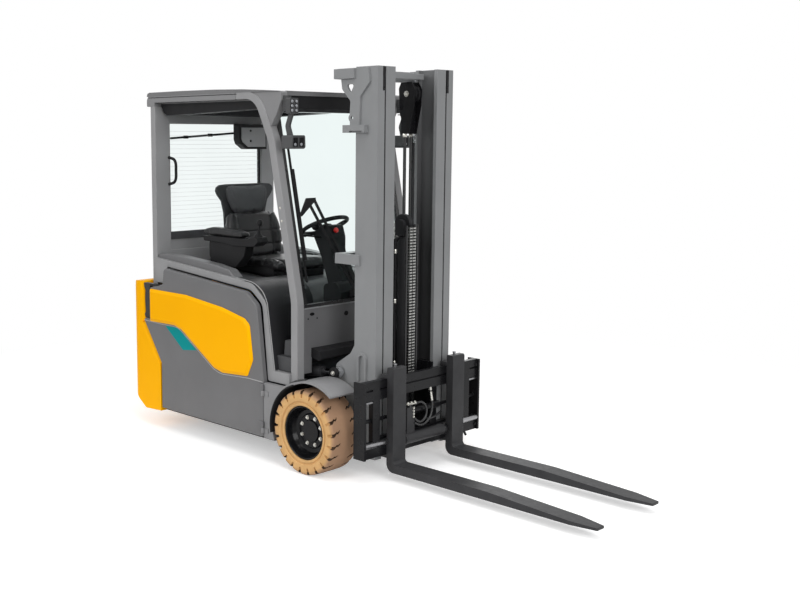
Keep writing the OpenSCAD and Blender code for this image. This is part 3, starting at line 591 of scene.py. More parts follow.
# How much narrower a notch is at its floor and how much wider at its lip, on each side
NOTCH_FLOOR = 0.6
NOTCH_LIP = 1.2
LAND_STEPS = 6
# Notch faces within this depth of the tread get painted shade
SHOULDER = 8
NUT_COUNT = 8
NUT_CIRCLE = 76
NUT_FACE = 34
NUT_RADIUS = 8.5


def tread_rows(outer, bore, half):
    """Section from the bead to the middle.

    Each row is x, radius, notch depth, notch shift along the tread and notch half width.
    """
    # Share of the half width, and radius
    wall = ((0.84, bore), (0.93, bore + 1), (0.965, bore + 5), (0.965, bore + 14), (0.91, bore + 17),
            (0.91, bore + 22), (0.985, bore + 27), (1.0, outer - 40))
    # Share of the half width, drop below the tread, and the notch as above
    lug = ((1.0, 37, 8, 0, 6), (0.99, 18, 14, 0, 8), (0.965, 7, 17, 0, 8.5), (0.91, 2.5, 18, 0, 8.5),
           (0.82, 1.2, 18, 0.02, 7), (0.74, 1.0, 16, 0.12, 5), (0.66, 0.7, 15, 0.2, 4.5),
           (0.6, 0.6, 15, 0.12, 4), (0.53, 0.4, 14, 0.2, 4), (0.45, 0.2, 13, 0.3, 3.5),
           (0.42, 0.2, 0, 0.3, 3.5), (0.22, 0, 0, 0.3, 3.5))
    rows = [(share * half, radius, 0, 0, 6) for share, radius in wall]
    return rows + [(share * half, outer - drop, *notch) for share, drop, *notch in lug]


def tread_tyre(piece, centre, outer, bore, width, lugs):
    near_rows = tread_rows(outer, bore, width / 2)
    pitch = 2 * math.pi * outer / lugs
    section = [row + (0.0,) for row in near_rows]
    section += [(-row[0],) + row[1:3] + (FAR_SHIFT - row[3], row[4], FAR_PHASE) for row in near_rows[::-1]]
    rings = []
    for i, (x, radius, depth, shift, half_cut, phase) in enumerate(section):
        before = section[max(i - 1, 0)]
        after = section[min(i + 1, len(section) - 1)]
        along = Vector((after[0] - before[0], after[1] - before[1])).normalized()
        inward = Vector((along.y, -along.x))
        if inward.x * x > 0 and abs(inward.x) > 0.1 or inward.y > 0:
            inward = -inward
        floor = (half_cut - NOTCH_FLOOR) / pitch
        edge = (half_cut + NOTCH_LIP) / pitch
        columns = [(-edge, 0), (-floor, depth), (floor, depth), (edge, 0)]
        columns += [(edge + (1 - 2 * edge) * k / LAND_STEPS, 0) for k in range(1, LAND_STEPS)]
        points = []
        for lug in range(lugs):
            for share, cut in columns:
                turn = 2 * math.pi * (lug + share + shift + phase) / lugs
                r = radius + inward.y * cut
                off = Vector((x + inward.x * cut, r * math.cos(turn), r * math.sin(turn)))
                points.append(Vector(centre) + off)
        rings.append(points)
    columns_per_lug = len(rings[0]) // lugs
    for i, face in enumerate(piece.skin(rings + [rings[0]], caps=False)):
        row, column = divmod(i, len(rings[0]))
        # Painted shade on the notch faces near the tread
        if column % columns_per_lug < 3 and section[row][1] > outer - SHOULDER and section[row][2]:
            face.material_index = 1
    piece.merge()


def front_wheel(side, name):
    body = "wheel_front_" + name
    tyre_node = "tyre_" + name
    low, high = box_mm(tyre_node)
    centre = (low + high) / 2
    centre.z = FRONT_RADIUS
    tyre = Piece(tyre_node + "_tread", body, front_rubber, groove_shade)
    tread_tyre(tyre, centre, FRONT_RADIUS, FRONT_BORE, high.x - low.x, FRONT_LUGS)
    tyre.done(bevel=0, smooth=TYRE_SMOOTH, replaces=(tyre_node,), centre=centre)
    nuts = Piece("rim_" + name + "_nuts", body, bolt_zinc)
    for i in range(NUT_COUNT):
        turn = 2 * math.pi * (i + 0.5) / NUT_COUNT
        off = Vector((side * NUT_FACE, NUT_CIRCLE * math.cos(turn), NUT_CIRCLE * math.sin(turn)))
        nuts.bolt(centre + off, (side, 0, 0), NUT_RADIUS)
    nuts.done(bevel=0.6)


def rear_wheels():
    low, high = box_mm("rear_tyres")
    centre = (low + high) / 2
    centre.z = REAR_RADIUS
    tread = Piece("rear_tread", "rear_wheels", rear_rubber, groove_shade)
    for side in SIDES:
        middle = centre + Vector((side * (high.x - REAR_W / 2), 0, 0))
        tread_tyre(tread, middle, REAR_RADIUS, REAR_BORE, REAR_W, REAR_LUGS)
    tread.done(bevel=0, smooth=TYRE_SMOOTH, replaces=("rear_tyres",), centre=centre)


for side, name in SIDE_NAMES.items():
    front_wheel(side, name)
rear_wheels()


# Lift chain of plates and pins, in front of the free-lift cylinder, with a hose on each side

CHAIN_PITCH = 15.9
CHAIN_AHEAD = 3
STRAND_X = 13.5
PLATE_H = 13
PLATE_T = 2.4
PLATE_GAP = 0.15
PLATE_PLACES = ((-8, -4, 0, 4, 8), (-6, -2, 2, 6))
ROLLER_PLACES = (-8, -2.7, 2.7, 8)
CHAIN_END = 6
SIDE_HOSE_X = 44
SIDE_HOSE_R = 6


def plate_outline(y, low, high):
    """Side view of one plate, round at both pins."""
    outline = []
    for start, middle in ((0, high), (math.pi, low)):
        for k in range(5):
            t = start + math.pi * k / 4
            outline.append((y + PLATE_H / 2 * math.cos(t), middle + PLATE_H / 2 * math.sin(t) * 0.85))
    return outline


def leaf_chain(piece, x, y, low, high):
    count = int((high - low) / CHAIN_PITCH)
    pitch = (high - low) / count
    half_t = PLATE_T / 2 - PLATE_GAP
    for i in range(count):
        z = low + pitch * i
        # Plates and pin bars in dark steel, rollers at each pin in bright steel: painted shade on the
        # plates' waists and painted highlights at the pins
        for off in PLATE_PLACES[i % 2]:
            piece.prism("x", plate_outline(y, z, z + pitch), x + off - half_t, x + off + half_t, 1)
        piece.bar((x - 10, y, z), (x + 10, y, z), 3.2, 1, 10)
        for off in ROLLER_PLACES:
            piece.bar((x + off - 2.2, y, z), (x + off + 2.2, y, z), PLATE_H / 2 + 0.8, 0, 14)


def lift_chain():
    low, high = box_mm("lift_chain")
    middle = (low + high) / 2
    y = middle.y - CHAIN_AHEAD
    ends = (low.z + CHAIN_END, high.z - CHAIN_END)
    chain = Piece("lift_chain_links", "lift_carriage", chain_steel, dark_steel, hose_rubber)
    for side in SIDES:
        leaf_chain(chain, middle.x + side * STRAND_X, y, *ends)
    for side in SIDES:
        chain.tube([(middle.x + side * SIDE_HOSE_X, y, z) for z in ends], SIDE_HOSE_R, 2)
    links = chain.done(bevel=0, replaces=("lift_chain",))
    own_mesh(links)


lift_chain()


# Steering wheel and the controls on its column

COLUMN_LEAN = math.radians(24)
WHEEL_AT = Vector((0, 398, 1282))
WHEEL_R = 134
WHEEL_GRIP = 12
SPOKE_TURNS = (90, 210, 330)
# Radius and height of the points that a spoke runs through
SPOKE = ((30, -22), (60, -20), (100, -8), (132, 0))
SPOKE_R = 9


def on_column(p):
    """A point given from the wheel's middle, with Z along the column."""
    x, y, z = p
    c = math.cos(COLUMN_LEAN)
    s = math.sin(COLUMN_LEAN)
    return WHEEL_AT + Vector((x, y * c + z * s, z * c - y * s))


COLUMN_AXIS = on_column((0, 0, 1)) - WHEEL_AT
FACE_AXIS = on_column((0, -1, 0)) - WHEEL_AT


def steering_wheel():
    wheel = Piece("steering_wheel_form", "chassis", dark_plastic, grey_plastic)
    wheel.hoop(WHEEL_AT, COLUMN_AXIS, WHEEL_R, WHEEL_GRIP)
    for turn in SPOKE_TURNS:
        c = math.cos(math.radians(turn))
        s = math.sin(math.radians(turn))
        wheel.tube(flowing([on_column((r * c, r * s, h)) for r, h in SPOKE], 4), SPOKE_R)
    hub = [(34, 0), (40, 6), (42, 24), (38, 34), (20, 38)]
    wheel.lathe(on_column((0, 0, -36)), COLUMN_AXIS, hub)
    wheel.lathe(on_column((0, 0, 2)), COLUMN_AXIS, [(26, 0), (24, 3), (10, 5)], 1)
    knob = [(9, -6), (9, 4), (19, 10), (24, 22), (22, 34), (12, 40)]
    wheel.lathe(on_column((50, 124, 12)), COLUMN_AXIS, knob, count=24)
    wheel.done(bevel=0.8, replaces=("steering_wheel",))


def column_bits():
    """Red stop button on the column's face, and the direction lever with its grip."""
    bits = Piece("column_bits", "chassis", red_plastic, dark_plastic)
    bits.lathe(on_column((-18, -78, -62)), FACE_AXIS, [(20, 0), (20, 5), (16, 6)], 1, 24)
    bits.lathe(on_column((-18, -84, -62)), FACE_AXIS, [(12, 0), (15, 3), (15, 12), (11, 16)], 0, 24)
    root = on_column((-40, 0, -70))
    tip = on_column((-150, 20, -46))
    bits.bar(root, tip, 5, 1, 12)
    bits.lathe(tip, tip - root, [(6, 0), (9, 6), (8, 22), (4, 26)], 1, 16)
    bits.done(bevel=0.6)


steering_wheel()
column_bits()


# Seat: padded forms swollen as cloth over foam, then sewn

UP = (0, 0, 1)
BACK_LEAN = 0.14
BACK_AXIS = (0, 1, -BACK_LEAN)
NO_SEAM = 99
FOAM_VOXEL = 5.0
CLOTH_FRAMES = 18
CLOTH_PRESSURE = 4.0


def settle(obj):
    """Apply the modifiers of obj to its mesh."""
    graph = bpy.context.evaluated_depsgraph_get()
    mesh = bpy.data.meshes.new_from_object(obj.evaluated_get(graph))
    obj.modifiers.clear()
    obj.data = mesh


def pillow(piece, stations, power=3.2, count=40):
    """Skin over rounded sections.

    A station is its centre, half width along X, half depth and the depth's axis.
    """
    rings = []
    for centre, half_w, half_d, axis in stations:
        axis = Vector(axis).normalized()
        points = []
        for i in range(count):
            c = math.cos(2 * math.pi * i / count)
            s = math.sin(2 * math.pi * i / count)
            x = half_w * math.copysign(abs(c) ** (2 / power), c)
            d = half_d * math.copysign(abs(s) ** (2 / power), s)
            points.append(Vector(centre) + Vector((x, 0, 0)) + axis * d)
        rings.append(points)
    piece.skin(rings)


def bolsters(piece, path, radius):
    """Thick welt along each side of a pad; path is the left one's."""
    for side in SIDES:
        piece.tube(flowing([(side * x, y, z) for x, y, z in path]), radius, count=20)


def upholster(obj, cap):
    """Swell a closed form under its cover, each point by cap millimetres at most."""
    remesh = obj.modifiers.new("remesh", "REMESH")
    remesh.mode = "VOXEL"
    remesh.voxel_size = FOAM_VOXEL * MM
    settle(obj)
    rest = [v.co.copy() for v in obj.data.vertices]
    cloth = obj.modifiers.new("cloth", "CLOTH")
    cloth.settings.use_pressure = True
    cloth.settings.uniform_pressure_force = CLOTH_PRESSURE
    cloth.settings.effector_weights.gravity = 0.0
    cloth.settings.quality = 4
    cloth.collision_settings.use_collision = False
    for step in range(1, CLOTH_FRAMES + 1):
        bpy.context.scene.frame_set(step)
    settle(obj)
    bpy.context.scene.frame_set(1)
    for vertex, start in zip(obj.data.vertices, rest):
        move = vertex.co - start
        if move.length > cap * MM:
            vertex.co = start + move * (cap * MM / move.length)
    obj.data.polygons.foreach_set("use_smooth", [True] * len(obj.data.polygons))


def sew(obj, distance, depth, width):
    """Press a seam into obj where distance(point in millimetres) is near nought."""
    mesh = obj.data
    pressed = []
    for vertex in mesh.vertices:
        away = distance(vertex.co / MM)
        pressed.append(vertex.co - vertex.normal * (depth * MM * math.exp(-(away / width) ** 2)))
    for vertex, place in zip(mesh.vertices, pressed):
        vertex.co = place


def back_y(z, foot_y, foot_z):
    """Where a plane that leans back with the seat, through its foot, is at height z."""
    return foot_y + (z - foot_z) * BACK_LEAN


def seat_cushion():
    # y, z, half width and half depth
    stations = ((556, 1040, 200, 16), (564, 1042, 222, 26), (600, 1044, 230, 30), (720, 1042, 232, 28),
                (860, 1038, 232, 25), (955, 1037, 226, 22), (978, 1037, 210, 14))
    cushion = Piece("seat_cushion_pad", "chassis", seat_leather)
    pillow(cushion, [((0, y, z), half, deep, UP) for y, z, half, deep in stations])
    bolsters(cushion, ((196, 596, 1052), (204, 680, 1057), (206, 850, 1058), (200, 960, 1052)), 22)
    pad = cushion.done(bevel=0, replaces=("seat_cushion",))
    upholster(pad, 9)

    def seams(p):
        if p.z <= 1046:
            return NO_SEAM
        return min(abs(abs(p.x) - 165), abs(p.y - 690), abs(p.y - 830))

    sew(pad, seams, 6, 5)


def seat_lower_back():
    # z, half width and half depth
    stations = ((1044, 190, 18), (1054, 202, 28), (1150, 206, 32), (1250, 198, 32), (1315, 182, 28),
                (1335, 165, 18))
    lower = Piece("seat_back_lower", "chassis", seat_leather)
    pillow(lower, [((0, back_y(z, 1024, 1040), z), half, deep, BACK_AXIS) for z, half, deep in stations])
    bolsters(lower, ((178, 1004, 1072), (184, 1006, 1160), (176, 1024, 1250), (160, 1046, 1318)), 27)
    pad = lower.done(bevel=0, replaces=("seat_back",))
    upholster(pad, 9)

    def seams(p):
        if p.y >= back_y(p.z, 1040, 1040):
            return NO_SEAM
        return min(abs(abs(p.x) - 138), abs(p.z - 1130), abs(p.z - 1215))

    sew(pad, seams, 6, 5)


def seat_upper_back():
    # z, half width and half depth
    stations = ((1316, 78, 12), (1324, 104, 21), (1352, 130, 28), (1400, 152, 31), (1440, 164, 31),
                (1468, 166, 28), (1486, 154, 21), (1496, 128, 12))
    foot_y = 1078
    foot_z = 1320
    upper = Piece("seat_back_pad", "chassis", seat_cloth)
    pillow(upper, [((0, back_y(z, foot_y, foot_z), z), half, deep, BACK_AXIS) for z, half, deep in stations])
    pad = upper.done(bevel=0, replaces=("seat_back",))
    upholster(pad, 7)

    def seams(p):
        if p.y >= back_y(p.z, foot_y, foot_z):
            return NO_SEAM
        return abs(abs(p.x) - 96 - (p.z - foot_z) * 0.24)

    sew(pad, seams, 4, 4)


def seat_shell():
    """Plastic shell behind the back pads."""
    half = [(0, 1504), (150, 1504), (204, 1500), (226, 1486), (232, 1464), (220, 1440), (186, 1400),
            (168, 1330), (150, 1060), (0, 1060)]
    shell = Piece("seat_shell", "chassis", grey_plastic)
    shell.prism("y", half[:-1] + [(-x, z) for x, z in half[:0:-1]], 1104, 1124)
    shell.box((-140, 140), (1040, 1108), (1062, 1300))
    shell.done(bevel=5)


def armrest():
    """Armrest console on its stand, with a joystick and two switches, and the pad on it."""
    arm = [(1052, 1176), (1062, 1206), (650, 1208), (606, 1228), (572, 1222), (560, 1196), (600, 1168),
           (760, 1160), (880, 1172)]
    stand = [(940, 976), (1030, 976), (1010, 1180), (930, 1180)]
    belly = [(1012, 1182), (1014, 1090), (970, 1034), (770, 1034), (694, 1104), (676, 1172)]
    stick_x = -332
    stick_axis = (0, -0.1, 1)
    console = Piece("armrest_console", "chassis", dark_plastic, grey_plastic)
    console.prism("x", arm, -376, -292)
    console.prism("x", stand, -352, -318)
    console.prism("x", belly, -366, -300)
    boot = [(27, 0), (24, 8), (14, 22), (10, 34), (7, 40)]
    console.lathe((stick_x, 604, 1222), stick_axis, boot, count=24)
    console.bar((stick_x, 600, 1258), (stick_x, 594, 1292), 6)
    knob = [(8, 0), (15, 6), (18, 18), (16, 30), (8, 38)]
    console.lathe((stick_x, 594, 1286), stick_axis, knob, count=24)
    for y in (668, 694):
        console.box((-350, -336), (y - 8, y + 8), (1206, 1216), 1)
    console.done(bevel=4, replaces=("armrest",))
    # y, z, half width and half depth
    stations = ((712, 1222, 30, 8), (722, 1226, 38, 15), (800, 1230, 42, 19), (1000, 1233, 42, 20),
                (1050, 1231, 38, 16), (1062, 1230, 30, 8))
    pad = Piece("armrest_pad", "chassis", seat_leather)
    pillow(pad, [((-334, y, z), half, deep, UP) for y, z, half, deep in stations])
    upholster(pad.done(bevel=0), 6)


seat_cushion()
seat_lower_back()
seat_upper_back()
seat_shell()
armrest()


# Body: covers, lines and fittings on the panels

roof_high = box_mm("roof_frame")[1]
screen_low, screen_high = box_mm("windscreen")
pane_low, pane_high = box_mm("rear_window")
CAB_X = roof_high.x
SCREEN_X = screen_high.x
PANE_X = pane_high.x
RIM_X = box_mm("body_rims")[1].x
DOOR_X = box_mm("door_insert_left")[0].x
COWL_Y = box_mm("front_cowl")[0].y
PILLAR_LEAN = 182 / 875
PILLAR_FOOT = 905
GUARD_TOP = FRONT_RADIUS + 44
HEATER_LINES = 23
HEATER_FOOT = 1232
HEATER_STEP = 27


def pillar_y(z):
    """Front face of the leaning front pillars at height z."""
    return COWL_Y + (z - PILLAR_FOOT) * PILLAR_LEAN


def hood_cover():
    """Dark moulding over the front of the seat hood, just ahead of the rims, with a pale bead along its edge
    as a painted highlight.
    """
    outer = [(284, 516), (336, 840), (348, 892), (378, 940), (424, 972), (470, 988), (540, 996)]
    inner = [(540, 980), (474, 972), (434, 957), (392, 930), (366, 888), (352, 836), (302, 516)]
    cover = Piece("hood_cover", "chassis", cover_plastic, pale_paint)
    for side in SIDES:
        cover.prism("x", outer + inner, side * (RIM_X - 4), side * 150)
        # Pale bead: painted highlight along the rim's edge
        cover.tube(flowing([(side * (RIM_X - 1), y, z) for y, z in outer], 4), 2.4, 1, 8)
    cover.done(bevel=7)


def entry_step():
    """Step moulding inside each entry, and the ledge on it."""
    step = Piece("entry_step", "chassis", step_plastic)
    for side in SIDES:
        step.prism("x", [(170, 513), (286, 513), (300, 596), (170, 596)], side * 470, side * 426)
        step.prism("x", [(176, 596), (262, 596), (254, 684), (190, 690)], side * 452, side * 396)
    step.done(bevel=5)


def guard_seals():
    """Black lip between each mudguard and the sill above it."""
    seal = Piece("guard_seals", "chassis", hose_rubber)
    first = 95
    sweep = 57
    steps = 16
    lip = 10
    turns = [math.radians(first + sweep * i / steps) for i in range(steps + 1)]
    arcs = [[(-r * math.cos(t), FRONT_RADIUS + r * math.sin(t)) for t in turns]
            for r in (GUARD_TOP, GUARD_TOP + lip)]
    for side in SIDES:
        seal.prism("x", arcs[0] + arcs[1][::-1], side * (RIM_X - 4), side * (RIM_X + 16))
    seal.done(bevel=1)


def door_lines(side, body):
    """Pale line under the yellow insert, a painted highlight on the edge there, and the blank plate beside
    it.
    """
    x = side * DOOR_X
    path = [(344, 446), (470, 449), (600, 442), (689, 437), (730, 442), (778, 458), (930, 552),
            (1075, 640), (1112, 654), (1150, 659), (1300, 658), (1448, 663)]
    plate = [(1234, 652), (1108, 655), (930, 542), (1062, 526)]
    edge = Piece("door_edge_" + body, body, pale_paint, teal_plate)
    # Pale line: painted highlight along the edge under the insert
    edge.tube([(x, y, z) for y, z in path], 2.8, 0, 8)
    edge.prism("x", plate, x, x + side * 1.2, 1)
    edge.done(bevel=0)


def latch_strips():
    """Moulding with the door's latch, between each door and the counterweight."""
    outline = [(1396, 674), (1452, 680), (1459, 700), (1446, 716), (1452, 790), (1446, 850), (1462, 872),
               (1462, 896), (1398, 896)]
    strip = Piece("latch_strips", "chassis", grey_plastic, black_paint)
    for side in SIDES:
        strip.prism("x", outline, side * RIM_X, side * (RIM_X + 28))
        strip.box(span(side, RIM_X, RIM_X + 33), (1290, 1396), (884, 896), 1)
    strip.done(bevel=3)


def lamp_lenses():
    """Six lenses in each lamp cluster, and the face and lens of each work lamp below it."""
    forward = (0, -1, 0)
    cluster_y = 172.5
    work_y = 153
    lens = Piece("lamp_lenses", "chassis", lamp_lens, black_paint)
    for side in SIDES:
        for x in (440, 472):
            for z in (1930, 1954, 1978):
                lens.lathe((side * x, cluster_y, z), forward, [(11, 0), (11, 2), (9.5, 2.2)], 1, 20)
                lens.lathe((side * x, cluster_y - 1.5, z), forward, [(9, 0), (8, 2), (4, 4)], 0, 20)
        for x in (422, 466):
            lens.box(span(side, x - 16, x + 16), (work_y - 0.5, work_y + 4), (1740, 1786), 1)
            lens.lathe((side * x, work_y, 1751), forward, [(9, 0), (8, 1.5), (4, 2.5)], 0, 18)
    lens.done(bevel=0.6)


def window_seals():
    """Rubber round the windscreen and the rear window, pillar bolts and the rear window's heater lines."""
    seal = Piece("window_seals", "chassis", hose_rubber, bolt_zinc, heater_line)
    low = screen_low.z
    high = screen_high.z
    strip = [(pillar_y(low) + 3, low), (pillar_y(high) + 3, high), (pillar_y(high) + 18, high),
             (pillar_y(low) + 18, low)]
    rear_y = (pane_low.y - 3, pane_high.y + 3)
    for side in SIDES:
        seal.prism("x", strip, side * (SCREEN_X + 1), side * (SCREEN_X - 23))
        for z in (1341, 1411):
            seal.bolt((side * CAB_X, pillar_y(z) + 30, z), (side, 0, 0), 5, 1)
        seal.box(span(side, PANE_X - 15, PANE_X + 3), rear_y, (pane_low.z + 2, pane_high.z - 2))
    seal.box((-SCREEN_X - 1, SCREEN_X + 1), (pillar_y(low) + 2, pillar_y(low) + 18), (low - 8, low + 12))
    seal.box((-PANE_X - 3, PANE_X + 3), rear_y, (pane_low.z - 2, pane_low.z + 14))
    heater_y = (pane_low.y - 1.4, pane_low.y - 0.4)
    for i in range(HEATER_LINES):
        z = HEATER_FOOT + HEATER_STEP * i
        seal.box((15 - PANE_X, PANE_X - 15), heater_y, (z, z + 1.3), 2)
    seal.done(bevel=1.5)


def cab_fittings():
    """Grab handle, rear wiper and the box under the roof."""
    cab = Piece("cab_fittings", "chassis", dark_plastic, lit_body_grey)
    handle = [(-388, 1378, 1668), (-368, 1350, 1656), (-360, 1340, 1630), (-360, 1338, 1586),
              (-360, 1340, 1540), (-368, 1350, 1514), (-388, 1378, 1502)]
    cab.tube(flowing(handle), 9, count=16)
    arm_y = pane_high.y + 10
    tip = Vector((-343, arm_y, 1784))
    pivot = Vector((200, arm_y, 1819))
    cab.tube([tip, pivot], 7, count=10)
    for share in (0.22, 0.58):
        clip = tip.lerp(pivot, share)
        cab.box((clip.x - 14, clip.x + 14), (arm_y - 8, arm_y + 8), (clip.z - 10, clip.z + 10))
    cab.lathe((pivot.x, arm_y - 22, pivot.z), (0, 1, 0), [(20, 0), (20, 24), (14, 32)], count=24)
    case = [(140, 1874), (378, 1874), (378, 1714), (204, 1714), (152, 1748), (140, 1778)]
    plate = [(160, 1853), (364, 1853), (364, 1729), (215, 1729), (168, 1760), (160, 1781)]
    plate_y = 1321
    cab.prism("y", case, plate_y + 5, plate_y + 60)
    # Plate in the lighter grey: painted light in the shade under the roof
    cab.prism("y", plate, plate_y, plate_y + 6, 1)
    for z in (1767, 1833):
        cab.bolt((235, plate_y, z), (0, -1, 0), 6)
    cab.done(bevel=5)


def roof_cap():
    """Crowned cover along the roof's edges, a black strip under it that is painted shadow in the groove
    there, and the bar over the windscreen.
    """
    cap = Piece("roof_cap", "chassis", roof_paint, black_paint)
    foot = roof_high.z - 6
    rear = roof_high.y
    inner_x = SCREEN_X + 2
    rear_edge = [(rear - 26, 2059), (rear - 6, 2052), (rear, 2036), (rear, foot)]
    crown = [(266, 2036), (400, 2044), (560, 2052), (800, 2058), (1100, 2060)]
    for side in SIDES:
        cap.prism("x", [(266, foot)] + crown + rear_edge, side * (CAB_X + 0.6), side * inner_x)
        # Black strip: painted shadow in the groove under the cover
        cap.box(span(side, CAB_X - 0.4, CAB_X + 1), (610, rear - 20), (2025, 2029), 1)
    cap.prism("x", [(rear - 56, foot), (rear - 56, 2059)] + rear_edge, -inner_x, inner_x)
    cap.box((-inner_x, inner_x), (256, 266), (2012, 2037))
    cap.done(bevel=3)


def rear_frame():
    """Inner panels above and below the rear window, with the dark sill on the lower one."""
    panel = Piece("rear_frame", "chassis", lit_body_grey, step_plastic)
    x = (-PANE_X, PANE_X)
    back = pane_low.y - 1.6
    # Panels in the lighter grey: painted light inside the cab
    panel.box(x, (pane_low.y - 16, back), (1872, pane_high.z))
    panel.box(x, (pane_low.y - 10, back), (1060, 1162))
    panel.box(x, (pane_low.y - 16, back), (1160, 1208), 1)
    panel.done(bevel=3)


def hood_ledges():
    """Raised moulding on each side of the seat hood, behind the rims."""
    ledge = Piece("hood_ledges", "chassis", grey_paint)
    outline = [(640, 990), (700, 1036), (820, 1054), (1130, 1080), (1240, 1086), (1374, 1080), (1374, 990)]
    for side in SIDES:
        ledge.prism("x", outline, side * (RIM_X - 22), side * (RIM_X - 92))
    ledge.done(bevel=10)


def cowl_fittings():
    """Dark ports in the front cowl and the bar along its top."""
    # x, z, half width and half height
    ports = ((-375, 836, 17, 9), (-109, 813, 15, 13), (-405, 812, 4, 4), (-337, 810, 4, 4))
    turns = [t * math.pi / 12 for t in range(24)]
    front = Piece("cowl_fittings", "chassis", black_paint, mast_paint)
    for x, z, half_w, half_h in ports:
        outline = [(x + half_w * math.cos(t), z + half_h * math.sin(t)) for t in turns]
        front.prism("y", outline, COWL_Y - 3, COWL_Y + 2)
    front.box((1 - SCREEN_X, SCREEN_X - 1), (COWL_Y - 4, COWL_Y + 4), (866, 874), 1)
    front.done(bevel=1)


hood_cover()
entry_step()
guard_seals()
for side, name in SIDE_NAMES.items():
    door_lines(side, "door_" + name + "_body")
latch_strips()
lamp_lenses()
window_seals()
cab_fittings()
roof_cap()
rear_frame()
hood_ledges()
cowl_fittings()


# Mast: hose sheave, pins and painted shade in the gaps

SHEAVE_AT = Vector((105, -150, 2022))
CHEEK_X = 31
CHEEK_T = 4
MAST_HOSE_R = 9


def mast_hose_set():
    """Hose sheave between cheek plates, the hoses below it and the free-lift cylinder's feed pipe."""
    x, y, z = SHEAVE_AT
    hose = Piece("mast_hose_set", "mast_inner", hose_rubber, black_paint, bolt_zinc)
    grooves = [(18, -26), (54, -26), (54, -21), (44, -14), (54, -7), (54, 7), (44, 14), (54, 21), (54, 26),
               (18, 26)]
    hose.lathe(SHEAVE_AT, (1, 0, 0), grooves, 1, 48)
    cheek = [(y - 34, z + 62), (y + 40, z + 62), (y + 56, z + 30), (y + 50, z - 60), (y + 26, z - 214),
             (y - 22, z - 214), (y - 54, z - 60), (y - 58, z + 24)]
    for low in (x - CHEEK_X, x + CHEEK_X - CHEEK_T):
        hose.prism("x", cheek, low, low + CHEEK_T, 1)
    hose.box((x - 27, x + 41), (y - 16, y + 40), (z - 214, z - 70), 1)
    for side in SIDES:
        hose.bolt((x + side * CHEEK_X, y, z), (side, 0, 0), 12, 2)
    run_y = y + 20
    for run_x in (x - 18, x + 32):
        hose.tube([(run_x, run_y, z - 200), (run_x, run_y, 200)], MAST_HOSE_R, 0, 14)
        hose.lathe((run_x, run_y, z - 232), UP, [(12, 0), (13, 4), (13, 22), (11, 26)], 2, 6)
    hose.box((x - 29, x + 43), (run_y - 14, run_y + 12), (180, 212), 1)
    feed = [(-62, -200, 170), (-62, -200, 700), (-62, -200, 1200), (-58, -200, 1238), (-40, -200, 1252)]
    hose.tube(flowing(feed), MAST_HOSE_R, 1, 14)
    feed_x, feed_y, _ = feed[0]
    for clamp in (560, 900, 1170):
        hose.lathe((feed_x, feed_y, clamp), UP, [(11, 0), (12, 3), (12, 19), (11, 22)], 2, 20)
    hose.done(bevel=1.5, replaces=("mast_hoses",))


def mast_pins():
    """Head of the pin in each tilt cylinder's eye."""
    pins = Piece("mast_pins", "mast_outer", black_paint, bolt_zinc)
    for side in SIDES:
        at = Vector((side * 348, -32, 529))
        pins.lathe(at, (side, 0, 0), [(33, 0), (34, 4), (34, 12), (30, 16), (10, 17)])
        pins.bolt(at + Vector((side * 16, 0, 0)), (side, 0, 0), 10, 1)
    pins.done(bevel=1)


def rail_gap_shade():
    """Black strips of painted shade, in the gap beside each inner rail and for the notch at the top of each
    outer rail.
    """
    front = box_mm("inner_rails")[0].y
    top = box_mm("outer_rails")[1].z
    gap = Piece("rail_gap_shade", "mast_outer", black_paint)
    for side in SIDES:
        gap.box(span(side, 241, 249), (front + 2, front + 10), (110, top - 2))
        gap.box(span(side, 247, 264), (front - 1, front + 2), (top - 124, top - 1))
    gap.done(bevel=0)


mast_hose_set()
mast_pins()
rail_gap_shade()


# Carriage: side-shift rods, hoses and bolts

ROD_Z = 205
BARREL_Y = -360
BARREL_Z = ROD_Z - 14
HOSE_D = 13

INNER_HOSE = [(-78, -362, 367), (-54, -367, 376), (-28, -369, 375), (-2, -370, 361), (14, -370, 336),
              (15, -370, 306), (-1, -370, 280), (-28, -369, 268), (-56, -368, 275), (-80, -367, 296)]
OUTER_HOSE = [(63, -353, 440), (63, -358, 416), (64, -364, 388), (65, -368, 358), (64, -369, 334),
              (58, -370, 308), (44, -370, 280), (18, -370, 259), (-16, -369, 249), (-50, -368, 255),
              (-80, -367, 270)]
CROSS_HOSE = [(34, -352, 270), (58, -352, 266), (88, -351, 266), (128, -348, 272), (170, -345, 286)]


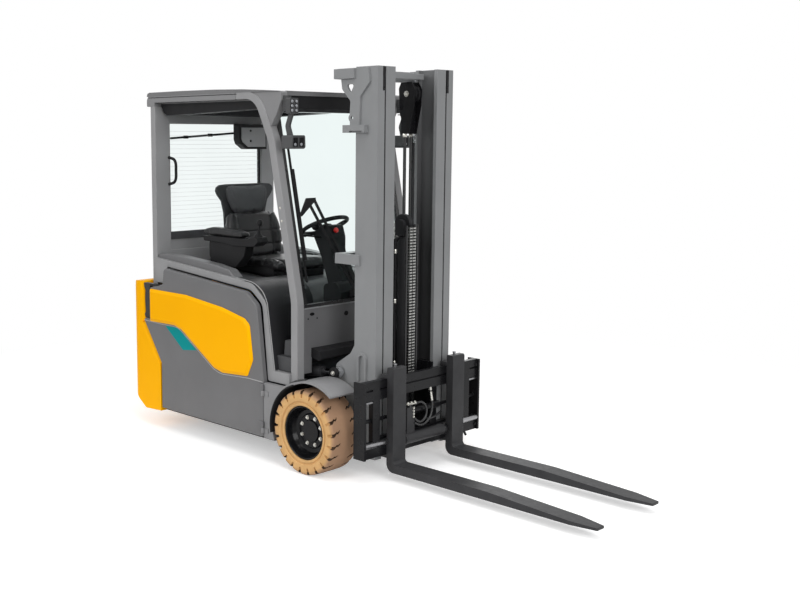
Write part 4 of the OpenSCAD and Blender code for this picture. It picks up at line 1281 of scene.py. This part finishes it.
def shift_rods():
    """Side-shift cylinder along the lower bar, its rods, and the small rods under the upper bar."""
    rods = Piece("shift_rods", "shift_carrier", worn_steel, fork_paint, black_paint)
    collar = [(20, -6), (30, 0), (33, 6), (33, 24), (30, 28)]
    stud = [(7, 0), (7, 8), (9, 10), (9, 16), (5, 18)]
    for side in SIDES:
        rods.bar((side * 300, -336, 330), (side * 432, -336, 330), 10.8, 2)
        rods.bar((side * 298, -358, ROD_Z), (side * 466, -358, ROD_Z), 16)
        rods.bar((side * 340, -352, 431), (side * 466, -352, 431), 7)
        rods.lathe((side * 186, BARREL_Y, BARREL_Z), (-side, 0, 0), collar, 2)
        for z in (168, 510):
            rods.bolt((side * 455, -360, z), (0, -1, 0), 8, 2)
        rods.lathe((side * 244, -372, 600), UP, stud, 0, 16)
    rods.bar((-184, BARREL_Y, BARREL_Z), (184, BARREL_Y, BARREL_Z), 30, 1, 40)
    rods.tube(flowing([(366, -340, 172), (378, -342, 140), (400, -342, 108)]), 7, 2)
    rods.done(bevel=0.8)


def shift_hose(name, points):
    """Hydraulic hose in the carrier's window."""
    path = flowing(points, 8)
    hose = Piece(name, "shift_carrier", hose_rubber)
    hose.tube(path, HOSE_D / 2, 0, 14)
    obj = hose.done(bevel=0)


def carriage_bits():
    """Valve plate in the window, with the fittings of the hoses."""
    bits = Piece("carriage_bits", "shift_carrier", bolt_zinc, fork_paint)
    bits.box((-140, -78), (-368, -361), (196, 360), 1)
    bits.bar((-146, -366, 382), (-74, -366, 375), 6)
    for x in (-140, -114, -86):
        bits.lathe((x, -366, 381), (1, 0, 0), [(9, 0), (10, 2), (10, 12), (9, 14)], 0, 6)
    bits.box((-122, -106), (-370, -361), (358, 380), 1)
    sleeve_axis = (0, 0.2, 1)
    bits.lathe((63, -356, 422), sleeve_axis, [(8, 0), (10, 2), (10, 14), (9, 20)], 0, 6)
    bits.lathe((64, -363, 392), sleeve_axis, [(7.4, -24), (7.4, 24)], 0, 16)
    for z in (304, 320, 336, 352):
        bits.bolt((-87, -368, z), (0, -1, 0), 5)
    bits.done(bevel=0.8)


shift_hose("shift_hose_inner", INNER_HOSE)
shift_hose("shift_hose_outer", OUTER_HOSE)
shift_hose("shift_hose_cross", CROSS_HOSE)
carriage_bits()
shift_rods()
